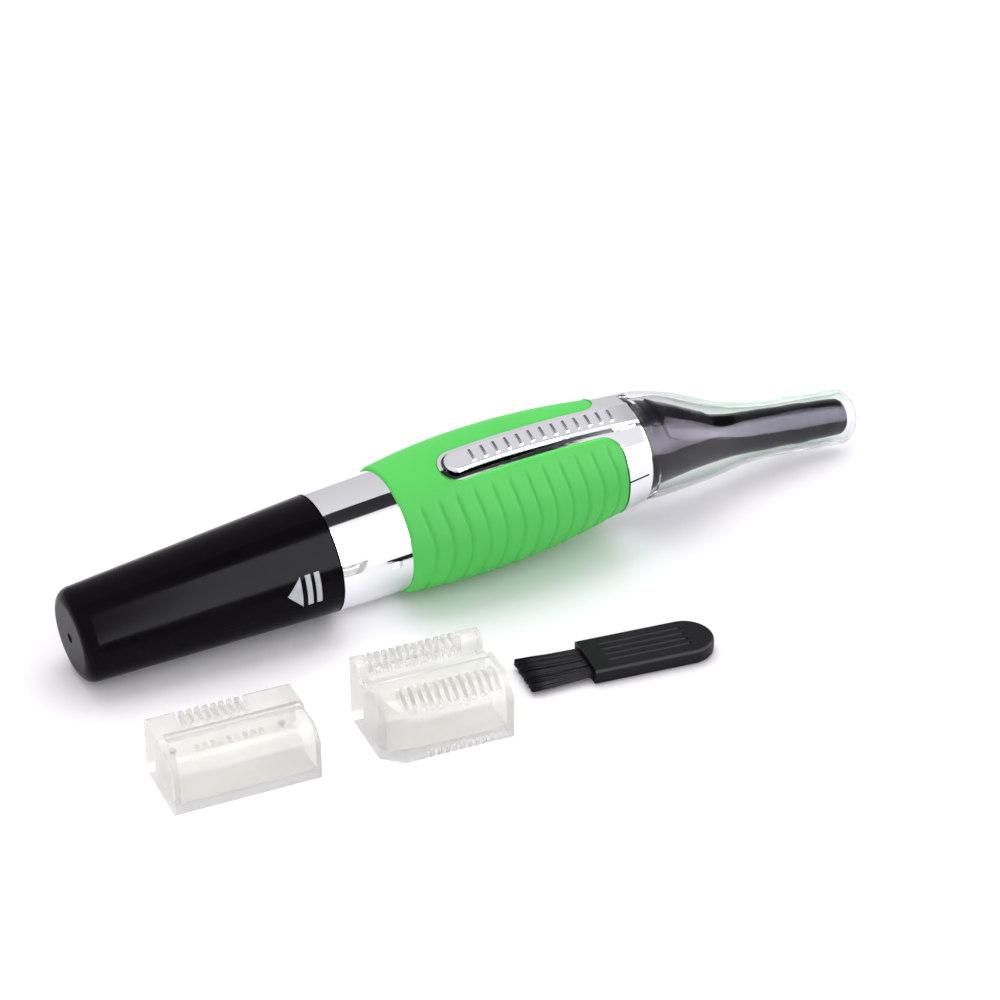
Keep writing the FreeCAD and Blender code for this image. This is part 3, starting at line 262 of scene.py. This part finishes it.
def shade_towards_edge(material, shade, green_reflection, power):
    """Painted shade where the moulded wall is seen edge on, and a painted green reflection of the
    grip along the top of its front end.
    """
    tree = material.node_tree
    base_colour = tree.nodes["Principled BSDF"].inputs["Base Color"]
    colour = base_colour.links[0].from_socket
    edge_on = add_node(tree, "LayerWeight", "Facing")
    steep = math_node(tree, "POWER", edge_on, power)
    normal = add_node(tree, "NewGeometry", "Normal")
    upward = add_node(tree, "SeparateXYZ", "Z", {"Vector": normal})
    place = add_node(tree, "TexCoord", "Object")
    along = add_node(tree, "SeparateXYZ", "X", {"Vector": place})
    share = math_node(tree, "MULTIPLY", remap(tree, upward, painted_reflection_heights),
                      remap(tree, along, painted_reflection_stretch))
    edge = mix_colours(tree, share, (*shade, 1.0), (*green_reflection, 1.0))
    feed(tree, base_colour, mix_colours(tree, steep, colour, edge))


def let_lamps_through(material, tint):
    """Clear plastic throws only a faint shadow: lamps see a tinted, open surface."""
    tree = material.node_tree
    shader = tree.nodes["Principled BSDF"]
    output = tree.nodes["Material Output"]
    lamp_ray = add_node(tree, "LightPath", "Is Shadow Ray")
    open_surface = add_node(tree, "BsdfTransparent", "BSDF", {"Color": (*tint, 1.0)})
    mixed = add_node(tree, "MixShader", "Shader",
                     {0: lamp_ray, 1: shader.outputs["BSDF"], 2: open_surface})
    feed(tree, output.inputs["Surface"], mixed)


finishes = {
    "black_plastic": finish("black_plastic_gloss",
                            (0.0026, 0.0018, 0.0036), (0.0034, 0.0026, 0.0044),
                            (0.12, 0.18), grain=700.0, bump=0.002, Specular_IOR_Level=0.04),
    "brush_plastic": finish("brush_plastic_satin", (0.005, 0.0045, 0.006), (0.007, 0.0065, 0.008),
                            (0.42, 0.52), grain=2500.0, bump=0.01, Specular_IOR_Level=0.12),
    "bristle": finish("bristle_fibre", (0.008, 0.007, 0.009), (0.014, 0.012, 0.016),
                      (0.38, 0.5), patch=900.0, Specular_IOR_Level=0.12),
    "green_rubber": finish("green_rubber_satin", (0.098, 0.555, 0.106), (0.108, 0.60, 0.116),
                           (0.42, 0.52), grain=4500.0, bump=0.006, Specular_IOR_Level=0.06),
    "chrome": finish("chrome_plating", (0.84, 0.84, 0.86), (0.90, 0.90, 0.92),
                     (0.03, 0.07), grain=260.0, bump=0.006, Metallic=1.0),
    "clear_plastic": finish("clear_plastic_gloss", (0.97, 0.98, 0.975), (0.99, 0.995, 0.99),
                            (0.01, 0.02), Transmission_Weight=1.0, IOR=1.1,
                            Coat_Weight=0.12, Coat_Roughness=0.03, Coat_IOR=1.49),
    "comb_plastic": finish("comb_plastic_milky", (0.73, 0.73, 0.70), (0.80, 0.80, 0.77),
                           (0.16, 0.24), grain=500.0, bump=0.01, Transmission_Weight=0.75,
                           IOR=1.25, Specular_IOR_Level=0.3),
    "contact_metal": finish("contact_plated", (0.70, 0.62, 0.44), (0.78, 0.71, 0.54),
                            (0.22, 0.34), patch=300.0, Metallic=1.0),
    "spring_steel": finish("spring_wire", (0.56, 0.56, 0.58), (0.66, 0.66, 0.68),
                           (0.2, 0.32), patch=500.0, Metallic=1.0),
    "cell_label": finish("cell_sleeve", (0.13, 0.14, 0.17), (0.18, 0.19, 0.22),
                         (0.24, 0.34), patch=120.0),
    "inner_plastic": finish("inner_plastic_moulded", (0.66, 0.66, 0.64), (0.72, 0.72, 0.70),
                            (0.4, 0.5), grain=1500.0, bump=0.01),
    "lever_plastic": finish("lever_plastic_moulded", (0.78, 0.77, 0.72), (0.84, 0.83, 0.78),
                            (0.36, 0.46), grain=1500.0, bump=0.008),
    "seal_rubber": finish("seal_rubber_satin", (0.025, 0.025, 0.025), (0.04, 0.04, 0.04),
                          (0.45, 0.6), grain=3000.0, bump=0.01),
    "screw_steel": finish("screw_turned", (0.5, 0.5, 0.51), (0.6, 0.6, 0.61),
                          (0.25, 0.4), patch=800.0, Metallic=1.0),
    "motor_steel": finish("motor_plated", (0.62, 0.62, 0.63), (0.7, 0.7, 0.71),
                          (0.25, 0.38), patch=200.0, Metallic=1.0),
    "magnet": finish("magnet_sintered", (0.07, 0.07, 0.08), (0.1, 0.1, 0.11),
                     (0.6, 0.75), grain=3000.0, bump=0.02),
    "board": finish("board_mask", (0.03, 0.19, 0.08), (0.05, 0.25, 0.11),
                    (0.25, 0.35), patch=400.0),
    "resistor": finish("resistor_lacquer", (0.56, 0.45, 0.29), (0.66, 0.53, 0.36),
                       (0.25, 0.35), patch=900.0),
    "lamp": finish("lamp_clear", (0.90, 0.92, 0.88), (0.95, 0.96, 0.93),
                   (0.05, 0.1), patch=400.0, Transmission_Weight=0.8, IOR=1.5),
    "wire": finish("wire_insulation", (0.48, 0.04, 0.03), (0.6, 0.06, 0.05),
                   (0.35, 0.45), patch=500.0),
    "blade_steel": finish("blade_ground", (0.64, 0.64, 0.66), (0.74, 0.74, 0.76),
                          (0.16, 0.28), grain=4000.0, bump=0.003, Metallic=1.0),
}
neck_black = finish("black_plastic_neck", (0.0015, 0.001, 0.0025), (0.0025, 0.002, 0.0035),
                    (0.17, 0.22), grain=700.0, bump=0.001, Specular_IOR_Level=0.2)
# painted shade for the floors of the combs' pin holes
painted_pin_hole_shade = finish("painted_pin_hole_shade", (0.10, 0.10, 0.09), (0.16, 0.16, 0.15), (0.4, 0.5), patch=900.0)
# dark colour of the pads on the switch's rib crowns, in place of the switch's dark lettering
rib_crown_dark = finish("rib_crown_dark", (0.10, 0.10, 0.12), (0.16, 0.16, 0.18), (0.3, 0.4), patch=400.0)
mark_ink = finish("mark_ink", (0.46, 0.48, 0.51), (0.54, 0.56, 0.59), (0.4, 0.5), patch=400.0,
                  Specular_IOR_Level=0.15)
# painted shade and a painted green reflection on the clear cover
shade_towards_edge(finishes["clear_plastic"], edge_shade, edge_painted_reflection, edge_power)
let_lamps_through(finishes["clear_plastic"], cover_lamp_tint)
let_lamps_through(finishes["comb_plastic"], comb_lamp_tint)

for node in frame["nodes"].values():
    for slot in node.material_slots:
        slot.material = finishes[slot.material.name.split(".")[0]]
for name in ("neck_housing", "light_hood", "nose"):
    frame["nodes"][name].material_slots[0].material = neck_black


# ---- green grip sleeve ----
sleeve_low, sleeve_high = node_extent("grip_sleeve", body_frame)
bezel_low, bezel_high = node_extent("switch_bezel", body_frame)
sleeve_rear_x = sleeve_low.x
sleeve_front_x = sleeve_high.x
sleeve_belly_x = sleeve_rear_x + sleeve_belly_setback
rib_first_x = sleeve_rear_x + rib_setback
bezel_rear_x = bezel_low.x


def sleeve_radius(x):
    """Barrel outline: two parabolas that meet at the belly."""
    if x < sleeve_belly_x:
        span = sleeve_belly_x - sleeve_rear_x
        fall = sleeve_belly_radius - sleeve_rear_radius
    else:
        span = sleeve_front_x - sleeve_belly_x
        fall = sleeve_belly_radius - sleeve_front_radius
    return sleeve_belly_radius - fall * ((x - sleeve_belly_x) / span) ** 2


def opening_half_width(x):
    """Half the gap in the sleeve for the switch's bezel: round behind, flared in front."""
    past_rear = x - bezel_rear_x
    if past_rear <= 0:
        return 0.0
    if past_rear < bezel_half_width:
        return math.sqrt(bezel_half_width ** 2 - (bezel_half_width - past_rear) ** 2)
    into_flare = x - (sleeve_front_x - bezel_corner_radius)
    if into_flare <= 0:
        return bezel_half_width
    rise = bezel_corner_radius ** 2 - min(into_flare, bezel_corner_radius) ** 2
    return bezel_half_width + bezel_corner_radius - math.sqrt(rise)


def rib_relief(x, angle):
    """Depth below the barrel outline, 0 on a rib's crown and full in a crease."""
    turned = min(angle, 360 - angle)
    fade = 1 - smooth_step(wave_fade_from, wave_fade_to, turned)
    wave = wave_amplitude * fade * math.cos(math.tau * (turned - wave_peak_angle) / wave_angle)
    turn = (x - wave - rib_first_x) / rib_pitch
    if turn < -0.5 or turn > rib_count - 0.5:
        return 0.0
    off_crown = 2 * abs(turn - math.floor(turn) - 0.5)
    reach = smooth_step(*(near_rib_fade if angle < 180 else far_rib_fade), turned)
    return rib_depth * reach * off_crown ** rib_fullness


def sleeve_surface(x, y_gap, angle):
    """Outside radius at a place, with its ribs, rounded ends and lip along the opening."""
    radius = sleeve_radius(x) - rib_relief(x, angle)
    for edge in (sleeve_rear_x, sleeve_front_x):
        inward = min(abs(x - edge) / sleeve_edge_round, 1.0)
        radius -= sleeve_edge_round * (1 - math.sqrt(1 - (1 - inward) ** 2))
    if y_gap < 3 * sleeve_lip_width:
        radius -= sleeve_lip_drop * math.exp(-(y_gap / sleeve_lip_width) ** 2)
    return radius


def sleeve_stations():
    """Places along the sleeve: even, with more of them round the opening's rear and the ends."""
    places = set()
    length = sleeve_front_x - sleeve_rear_x
    for i in range(sleeve_station_count + 1):
        places.add(round(sleeve_rear_x + length * i / sleeve_station_count, 4))
    for i in range(sleeve_corner_steps + 1):
        t = 1 - math.cos(math.pi / 2 * i / sleeve_corner_steps)
        places.add(round(bezel_rear_x + t * bezel_half_width / 2, 4))
        places.add(round(sleeve_rear_x + t * sleeve_edge_round, 4))
        places.add(round(sleeve_front_x - t * sleeve_edge_round, 4))
    return sorted(places)


def make_sleeve():
    """Closed wall round the handle, with a gap where the switch's bezel comes through."""
    columns = sleeve_columns
    points = []
    faces = []
    stations = sleeve_stations()
    for x in stations:
        half = opening_half_width(x)
        outer_start = math.degrees(math.asin(half / sleeve_radius(x)))
        inner_start = math.degrees(math.asin(half / sleeve_inner_radius))
        for j in range(columns + 1):
            angle = outer_start + (360 - 2 * outer_start) * j / columns
            y_gap = far_from_opening
            if half > 0 and min(angle, 360 - angle) < opening_side_angle:
                y_gap = abs(sleeve_radius(x) * math.sin(math.radians(angle))) - half
            points.append(around(x, sleeve_surface(x, y_gap, angle), angle))
        for j in range(columns + 1):
            angle = inner_start + (360 - 2 * inner_start) * j / columns
            points.append(around(x, sleeve_inner_radius, angle))
    row = 2 * (columns + 1)
    for i in range(len(stations) - 1):
        for j in range(columns):
            a = i * row + j
            b = a + row
            faces.append((a, a + 1, b + 1, b))
            c = a + columns + 1
            d = c + row
            faces.append((c, d, d + 1, c + 1))
        if stations[i] >= bezel_rear_x - station_tolerance:
            a = i * row
            b = a + row
            faces.append((a, b, b + columns + 1, a + columns + 1))
            faces.append((a + columns, a + row - 1, b + row - 1, b + columns))
    for i in (0, len(stations) - 1):
        for j in range(columns):
            a = i * row + j
            c = a + columns + 1
            faces.append((a, c, c + 1, a + 1) if i == 0 else (a, a + 1, c + 1, c))
    sleeve = add_piece("ribbed_sleeve", points, faces, finishes["green_rubber"], body_frame)
    close_seams(sleeve)
    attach(sleeve, "handle")
    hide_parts("grip_sleeve")


def close_seams(piece):
    """Joins the points that meet where a surface closes on itself."""
    work = bmesh.new()
    work.from_mesh(piece.data)
    bmesh.ops.remove_doubles(work, verts=work.verts, dist=seam_tolerance)
    bmesh.ops.recalc_face_normals(work, faces=work.faces)
    work.to_mesh(piece.data)
    work.free()


make_sleeve()


# ---- pull mark on the battery cap ----
def cap_radius(x):
    """Outside radius of the cap; x is 0 at its rim and falls towards its end."""
    return cap_rim_radius + (cap_rim_radius - cap_end_radius) * x / cap_length


def make_mark(name, half_angle, rear_x, front_x):
    """Thin printed patch on the cap; rear_x and front_x give its ends across the mark."""
    across = mark_steps_across
    along = mark_steps_along
    points = []
    faces = []
    for stand in (mark_stand, -mark_stand):
        for i in range(across + 1):
            side = 2 * i / across - 1
            for j in range(along + 1):
                x = rear_x(side) + (front_x(side) - rear_x(side)) * j / along
                points.append(around(x, cap_radius(x) + stand, mark_angle + side * half_angle))
    row = along + 1
    layer = row * (across + 1)
    for i in range(across):
        for j in range(along):
            a = i * row + j
            faces.append((a, a + 1, a + row + 1, a + row))
            faces.append((a + layer, a + layer + row, a + layer + row + 1, a + layer + 1))
    for i in range(across):
        for j in (0, along):
            a = i * row + j
            faces.append((a, a + row, a + row + layer, a + layer))
    for j in range(along):
        for i in (0, across):
            a = i * row + j
            faces.append((a, a + 1, a + 1 + layer, a + layer))
    mark = add_piece(name, points, faces, mark_ink, body_frame)
    close_seams(mark)
    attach(mark, "battery_cap")


make_mark("pull_arrow", mark_half_angle,
          lambda side: arrow_tip_x
          + (arrow_base_x - arrow_tip_x) * min(abs(side), arrow_tip_share),
          lambda side: arrow_base_x)
for number, (bar_rear_x, bar_front_x) in enumerate(bar_places, start=1):
    make_mark(f"pull_bar_{number}", mark_half_angle,
              lambda side, x=bar_rear_x: x, lambda side, x=bar_front_x: x)


# ---- painted shade on the floors of the combs' pin holes ----
def make_painted_pin_hole_discs(comb, body, turn, places, floor_height):
    """Discs at the foot of a comb's pin holes, darker than its plastic: painted shade in the
    holes.
    """
    low, high = (Vector(corner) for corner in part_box(comb))
    middle = (low + high) / 2
    seat = Matrix.Translation((middle.x, middle.y, 0))
    seat @= Matrix.Rotation(math.radians(turn), 4, "Z") @ Matrix.Scale(MM, 4)
    points = []
    faces = []
    for x, y in places:
        first = len(points)
        for z in (floor_height + mark_stand, floor_height + pin_floor_thickness):
            for k in range(pin_sides):
                a = math.tau * k / pin_sides
                points.append((x + pin_radius * math.cos(a), y + pin_radius * math.sin(a), z))
        for k in range(pin_sides):
            a = first + k
            b = first + (k + 1) % pin_sides
            faces.append((a, b, b + pin_sides, a + pin_sides))
        faces.append(tuple(first + k for k in reversed(range(pin_sides))))
        faces.append(tuple(first + pin_sides + k for k in range(pin_sides)))
    discs = add_piece(comb + "_painted_shade_discs", points, faces, painted_pin_hole_shade, seat)
    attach(discs, body)


make_painted_pin_hole_discs("short_comb", "short_comb", short_comb_turn, short_comb_pins,
                short_comb_pin_floor)
make_painted_pin_hole_discs("long_comb", "long_comb", long_comb_turn, long_comb_pins,
                long_comb_pin_floor)


# ---- dark tops of the switch's ribs ----
def crown_height(x):
    return sleeve_radius(x) + switch_stand + switch_rib_height + mark_stand


def make_rib_tops():
    """Thin dark pads on the crown of the switch's ribs."""
    switch_low, switch_high = node_extent("switch_slider", body_frame)
    points = []
    faces = []
    for i in range(switch_rib_count):
        rear = switch_low.x + switch_rib_setback + i * switch_rib_pitch + pad_margin
        front = rear + switch_rib_width - 2 * pad_margin
        side = switch_rib_half_length - pad_margin
        first = len(points)
        for drop in (0.0, 2 * mark_stand):
            for x, y in ((rear, -side), (front, -side), (front, side), (rear, side)):
                points.append(Vector((x, y, crown_height(rear) - drop)))
        faces.append(tuple(first + k for k in range(4)))
        faces.append(tuple(first + 4 + k for k in reversed(range(4))))
        for k in range(4):
            a = first + k
            b = first + (k + 1) % 4
            faces.append((a, a + 4, b + 4, b))
    pads = add_piece("rib_tops", points, faces, rib_crown_dark, body_frame)
    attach(pads, "switch")


make_rib_tops()


# ---- bristles of the cleaning brush ----
def make_bristles():
    """Four tufts of separate fibres, splayed a little at their free ends."""
    dice = random.Random(strand_seed)
    brush_frame = Matrix.Rotation(math.radians(brush_turn), 4, "Z") @ Matrix.Scale(MM, 4)
    low, high = node_extent("brush_bristles", brush_frame)
    handle_low, handle_high = node_extent("brush_handle", brush_frame)
    back = brush_frame.inverted()
    tuft_points = [back @ v.co for v in frame["nodes"]["brush_bristles"].data.vertices]
    roots = sorted({round(p.y, 2) for p in tuft_points if p.x > high.x - root_tolerance})
    tuft_sides = list(zip(roots[::2], roots[1::2]))
    middle_y = (handle_low.y + handle_high.y) / 2
    tip_reach = max(abs(low.y - middle_y), abs(high.y - middle_y))
    splay = tip_reach / max(abs(y - middle_y) for y in roots)
    mouth_x = handle_low.x
    points = []
    faces = []
    sides = strand_sides
    steps = strand_steps
    for near, far in tuft_sides:
        for strand in range(strands_per_tuft):
            y = dice.uniform(near + strand_radius, far - strand_radius)
            z = dice.uniform(low.z + strand_radius, high.z - strand_radius)
            end_x = low.x + abs(dice.gauss(0.0, strand_unevenness))
            bend = dice.uniform(-strand_spread, strand_spread)
            end_y = middle_y + (y - middle_y) * splay + bend
            end_y = min(max(end_y, low.y + strand_radius), high.y - strand_radius)
            rise = dice.uniform(-strand_height_spread, strand_height_spread)
            end_z = min(max(z + rise, low.z + strand_radius), high.z)
            first = len(points)
            for i in range(steps + 1):
                t = i / steps
                x = high.x + (end_x - high.x) * t
                out = smooth_step(0.0, 1.0, (mouth_x - x) / (mouth_x - end_x))
                centre = Vector((x, y + (end_y - y) * out, z + (end_z - z) * out))
                radius = strand_radius + (strand_tip_radius - strand_radius) * t
                for k in range(sides):
                    a = math.tau * k / sides
                    points.append(centre + Vector((0, math.cos(a), math.sin(a))) * radius)
            for i in range(steps):
                for k in range(sides):
                    a = first + i * sides + k
                    b = first + i * sides + (k + 1) % sides
                    faces.append((a, b, b + sides, a + sides))
            faces.append(tuple(first + k for k in reversed(range(sides))))
            faces.append(tuple(first + steps * sides + k for k in range(sides)))
    fibres = add_piece("bristle_fibres", points, faces, finishes["bristle"], brush_frame)
    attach(fibres, "brush")
    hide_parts("brush_bristles")


make_bristles()

# ---- floor ----
floor_half = 1.5
paper_colour = (0.86, 0.848, 0.872)
paper_roughness = 0.9
paper_specular = 0.1
floor_lift = 0.05
far_floor_lift = 0.4
far_floor_reach = (0.25, 0.7)


def make_floor():
    """White table that keeps the shadows; the camera sees it lifted towards white far out."""
    corners = [(-floor_half, -floor_half, 0), (floor_half, -floor_half, 0),
               (floor_half, floor_half, 0), (-floor_half, floor_half, 0)]
    paper = bpy.data.materials.new("white_table")
    paper.use_nodes = True
    tree = paper.node_tree
    shader = tree.nodes["Principled BSDF"]
    seen = math_node(tree, "MAXIMUM", add_node(tree, "LightPath", "Is Camera Ray"),
                     add_node(tree, "LightPath", "Is Transmission Ray"))
    place = add_node(tree, "TexCoord", "Object")
    away = add_node(tree, "VectorMath", "Value", {0: place}, operation="LENGTH")
    level = remap(tree, away, far_floor_reach, (floor_lift, far_floor_lift))
    for socket, source in (("Base Color", (*paper_colour, 1.0)),
                           ("Roughness", paper_roughness),
                           ("Specular IOR Level", paper_specular),
                           ("Emission Color", (1.0, 1.0, 1.0, 1.0)),
                           ("Emission Strength", math_node(tree, "MULTIPLY", seen, level))):
        feed(tree, shader.inputs[socket], source)
    table = add_piece("table", corners, [(0, 1, 2, 3)], paper, Matrix.Identity(4))


make_floor()


# ---- studio light ----
overhead_place = (0.1, 0.25, 0.7)
overhead_size = (0.7, 0.6)
overhead_power = 3.6
handle_card_reach = (0.0, 0.30)
handle_card_radiance = 11.0
handle_card_distance = 0.45
handle_card_height = 0.6
handle_card_lean = 55.0
front_card_x = 0.32
front_card_edge = 0.01
front_card_width = 0.40
front_card_height = 0.26
front_card_radiance = 7.0
front_card_tint = (1.0, 0.94, 1.17)
tent_tint = (1.0, 0.985, 1.02)
# Levels run from the tent's front to its back, reaches from its rear end to its front end.
tent_levels = ((0.0, 1.0), (0.42, 0.95), (0.50, 0.80), (0.63, 0.78), (1.0, 0.68))
flag_levels = ((0.0, 1.0), (0.355, 1.0), (0.375, 0.03), (0.55, 0.02), (0.565, 0.80), (1.0, 0.68))
ahead_levels = ((0.0, 1.0), (0.44, 0.95), (0.53, 0.10), (1.0, 0.08))
ahead_reach = ((0.0, 0.0), (0.80, 0.0), (0.86, 1.0), (1.0, 1.0))
flag_reach = ((0.0, 0.0), (0.55, 0.0), (0.575, 1.0), (0.74, 1.0), (0.775, 0.0), (1.0, 0.0))


def tent_ramp(tree, share, levels):
    """Tent's white at the levels of (position, level) pairs."""
    stops = [(position, [level * part for part in tent_tint]) for position, level in levels]
    return colour_ramp(tree, share, stops)


def make_world():
    """White tent, greyer behind, with a dark flag overhead and one ahead of the nose."""
    world = bpy.data.worlds.new("studio")
    bpy.context.scene.world = world
    world.use_nodes = True
    tree = world.node_tree
    background = tree.nodes["Background"]
    direction = add_node(tree, "TexCoord", "Generated")
    x_share, y_share = (
        remap(tree, add_node(tree, "SeparateXYZ", axis, {"Vector": direction}), (-1.0, 1.0))
        for axis in "XY")
    tent = tent_ramp(tree, y_share, tent_levels)
    flagged = tent_ramp(tree, y_share, flag_levels)
    lit = mix_colours(tree, tent_ramp(tree, x_share, flag_reach), tent, flagged)
    ahead = tent_ramp(tree, y_share, ahead_levels)
    shaded = mix_colours(tree, tent_ramp(tree, x_share, ahead_reach), lit, ahead)
    camera_ray = add_node(tree, "LightPath", "Is Camera Ray")
    feed(tree, background.inputs["Color"],
         mix_colours(tree, camera_ray, shaded, (1.0, 1.0, 1.0, 1.0)))
    feed(tree, background.inputs["Strength"], 1.0)


def add_area_lamp(name, size, power, place, turn):
    lamp = bpy.data.lights.new(name, "AREA")
    lamp.shape = "RECTANGLE"
    lamp.size, lamp.size_y = size
    lamp.energy = power
    holder = bpy.data.objects.new(name, lamp)
    holder.location = place
    holder.rotation_euler = turn
    bpy.context.scene.collection.objects.link(holder)
    return holder


def add_card(name, size, radiance, place, turn):
    """White card that shows only as a highlight on glossy surfaces."""
    power = radiance * math.pi * size[0] * size[1]
    card = add_area_lamp(name, size, power, place, turn)
    card.visible_diffuse = False
    return card


def facing(direction):
    return Vector(direction).to_track_quat("-Z", "Y").to_euler()


def make_overhead_softbox():
    box = add_area_lamp("overhead", overhead_size, overhead_power, overhead_place,
                        facing(-Vector(overhead_place)))
    box.visible_glossy = False


def make_front_card():
    """Card ahead of the nose, low down: the pale band along the neck."""
    place = (front_card_x, front_card_edge - front_card_width / 2, front_card_height / 2)
    card = add_card("front_card", (front_card_width, front_card_height),
                    front_card_radiance, place, facing((-1, 0, 0)))
    card.data.color = front_card_tint


def make_handle_card():
    """Leaning card beside the camera: the highlight along the cap."""
    rear_x, front_x = handle_card_reach
    lean = math.radians(handle_card_lean)
    place = ((rear_x + front_x) / 2, -handle_card_distance * math.sin(lean),
             handle_card_distance * math.cos(lean))
    add_card("handle_card", (front_x - rear_x, handle_card_height), handle_card_radiance,
             place, (lean, 0, 0))


make_world()
make_overhead_softbox()
make_front_card()
make_handle_card()


# ---- camera ----
sensor_width = 36.0
focal_length = 108.0
camera_offset = (-0.1687, -0.3678, 0.2520)
camera_forward = (0.4128, 0.7517, -0.5143)


def make_camera():
    """Camera placed from the middle of the cap's rim, without roll."""
    lens = bpy.data.cameras.new("camera")
    lens.sensor_width = sensor_width
    lens.lens = focal_length
    camera = bpy.data.objects.new("camera", lens)
    forward = Vector(camera_forward).normalized()
    right = forward.cross(Vector((0, 0, 1))).normalized()
    up = right.cross(forward)
    turn = Matrix((right, up, -forward)).transposed().to_4x4()
    camera.matrix_world = Matrix.Translation(body_origin + Vector(camera_offset)) @ turn
    bpy.context.scene.collection.objects.link(camera)
    bpy.context.scene.camera = camera


make_camera()
bpy.context.scene.view_settings.view_transform = "Standard"
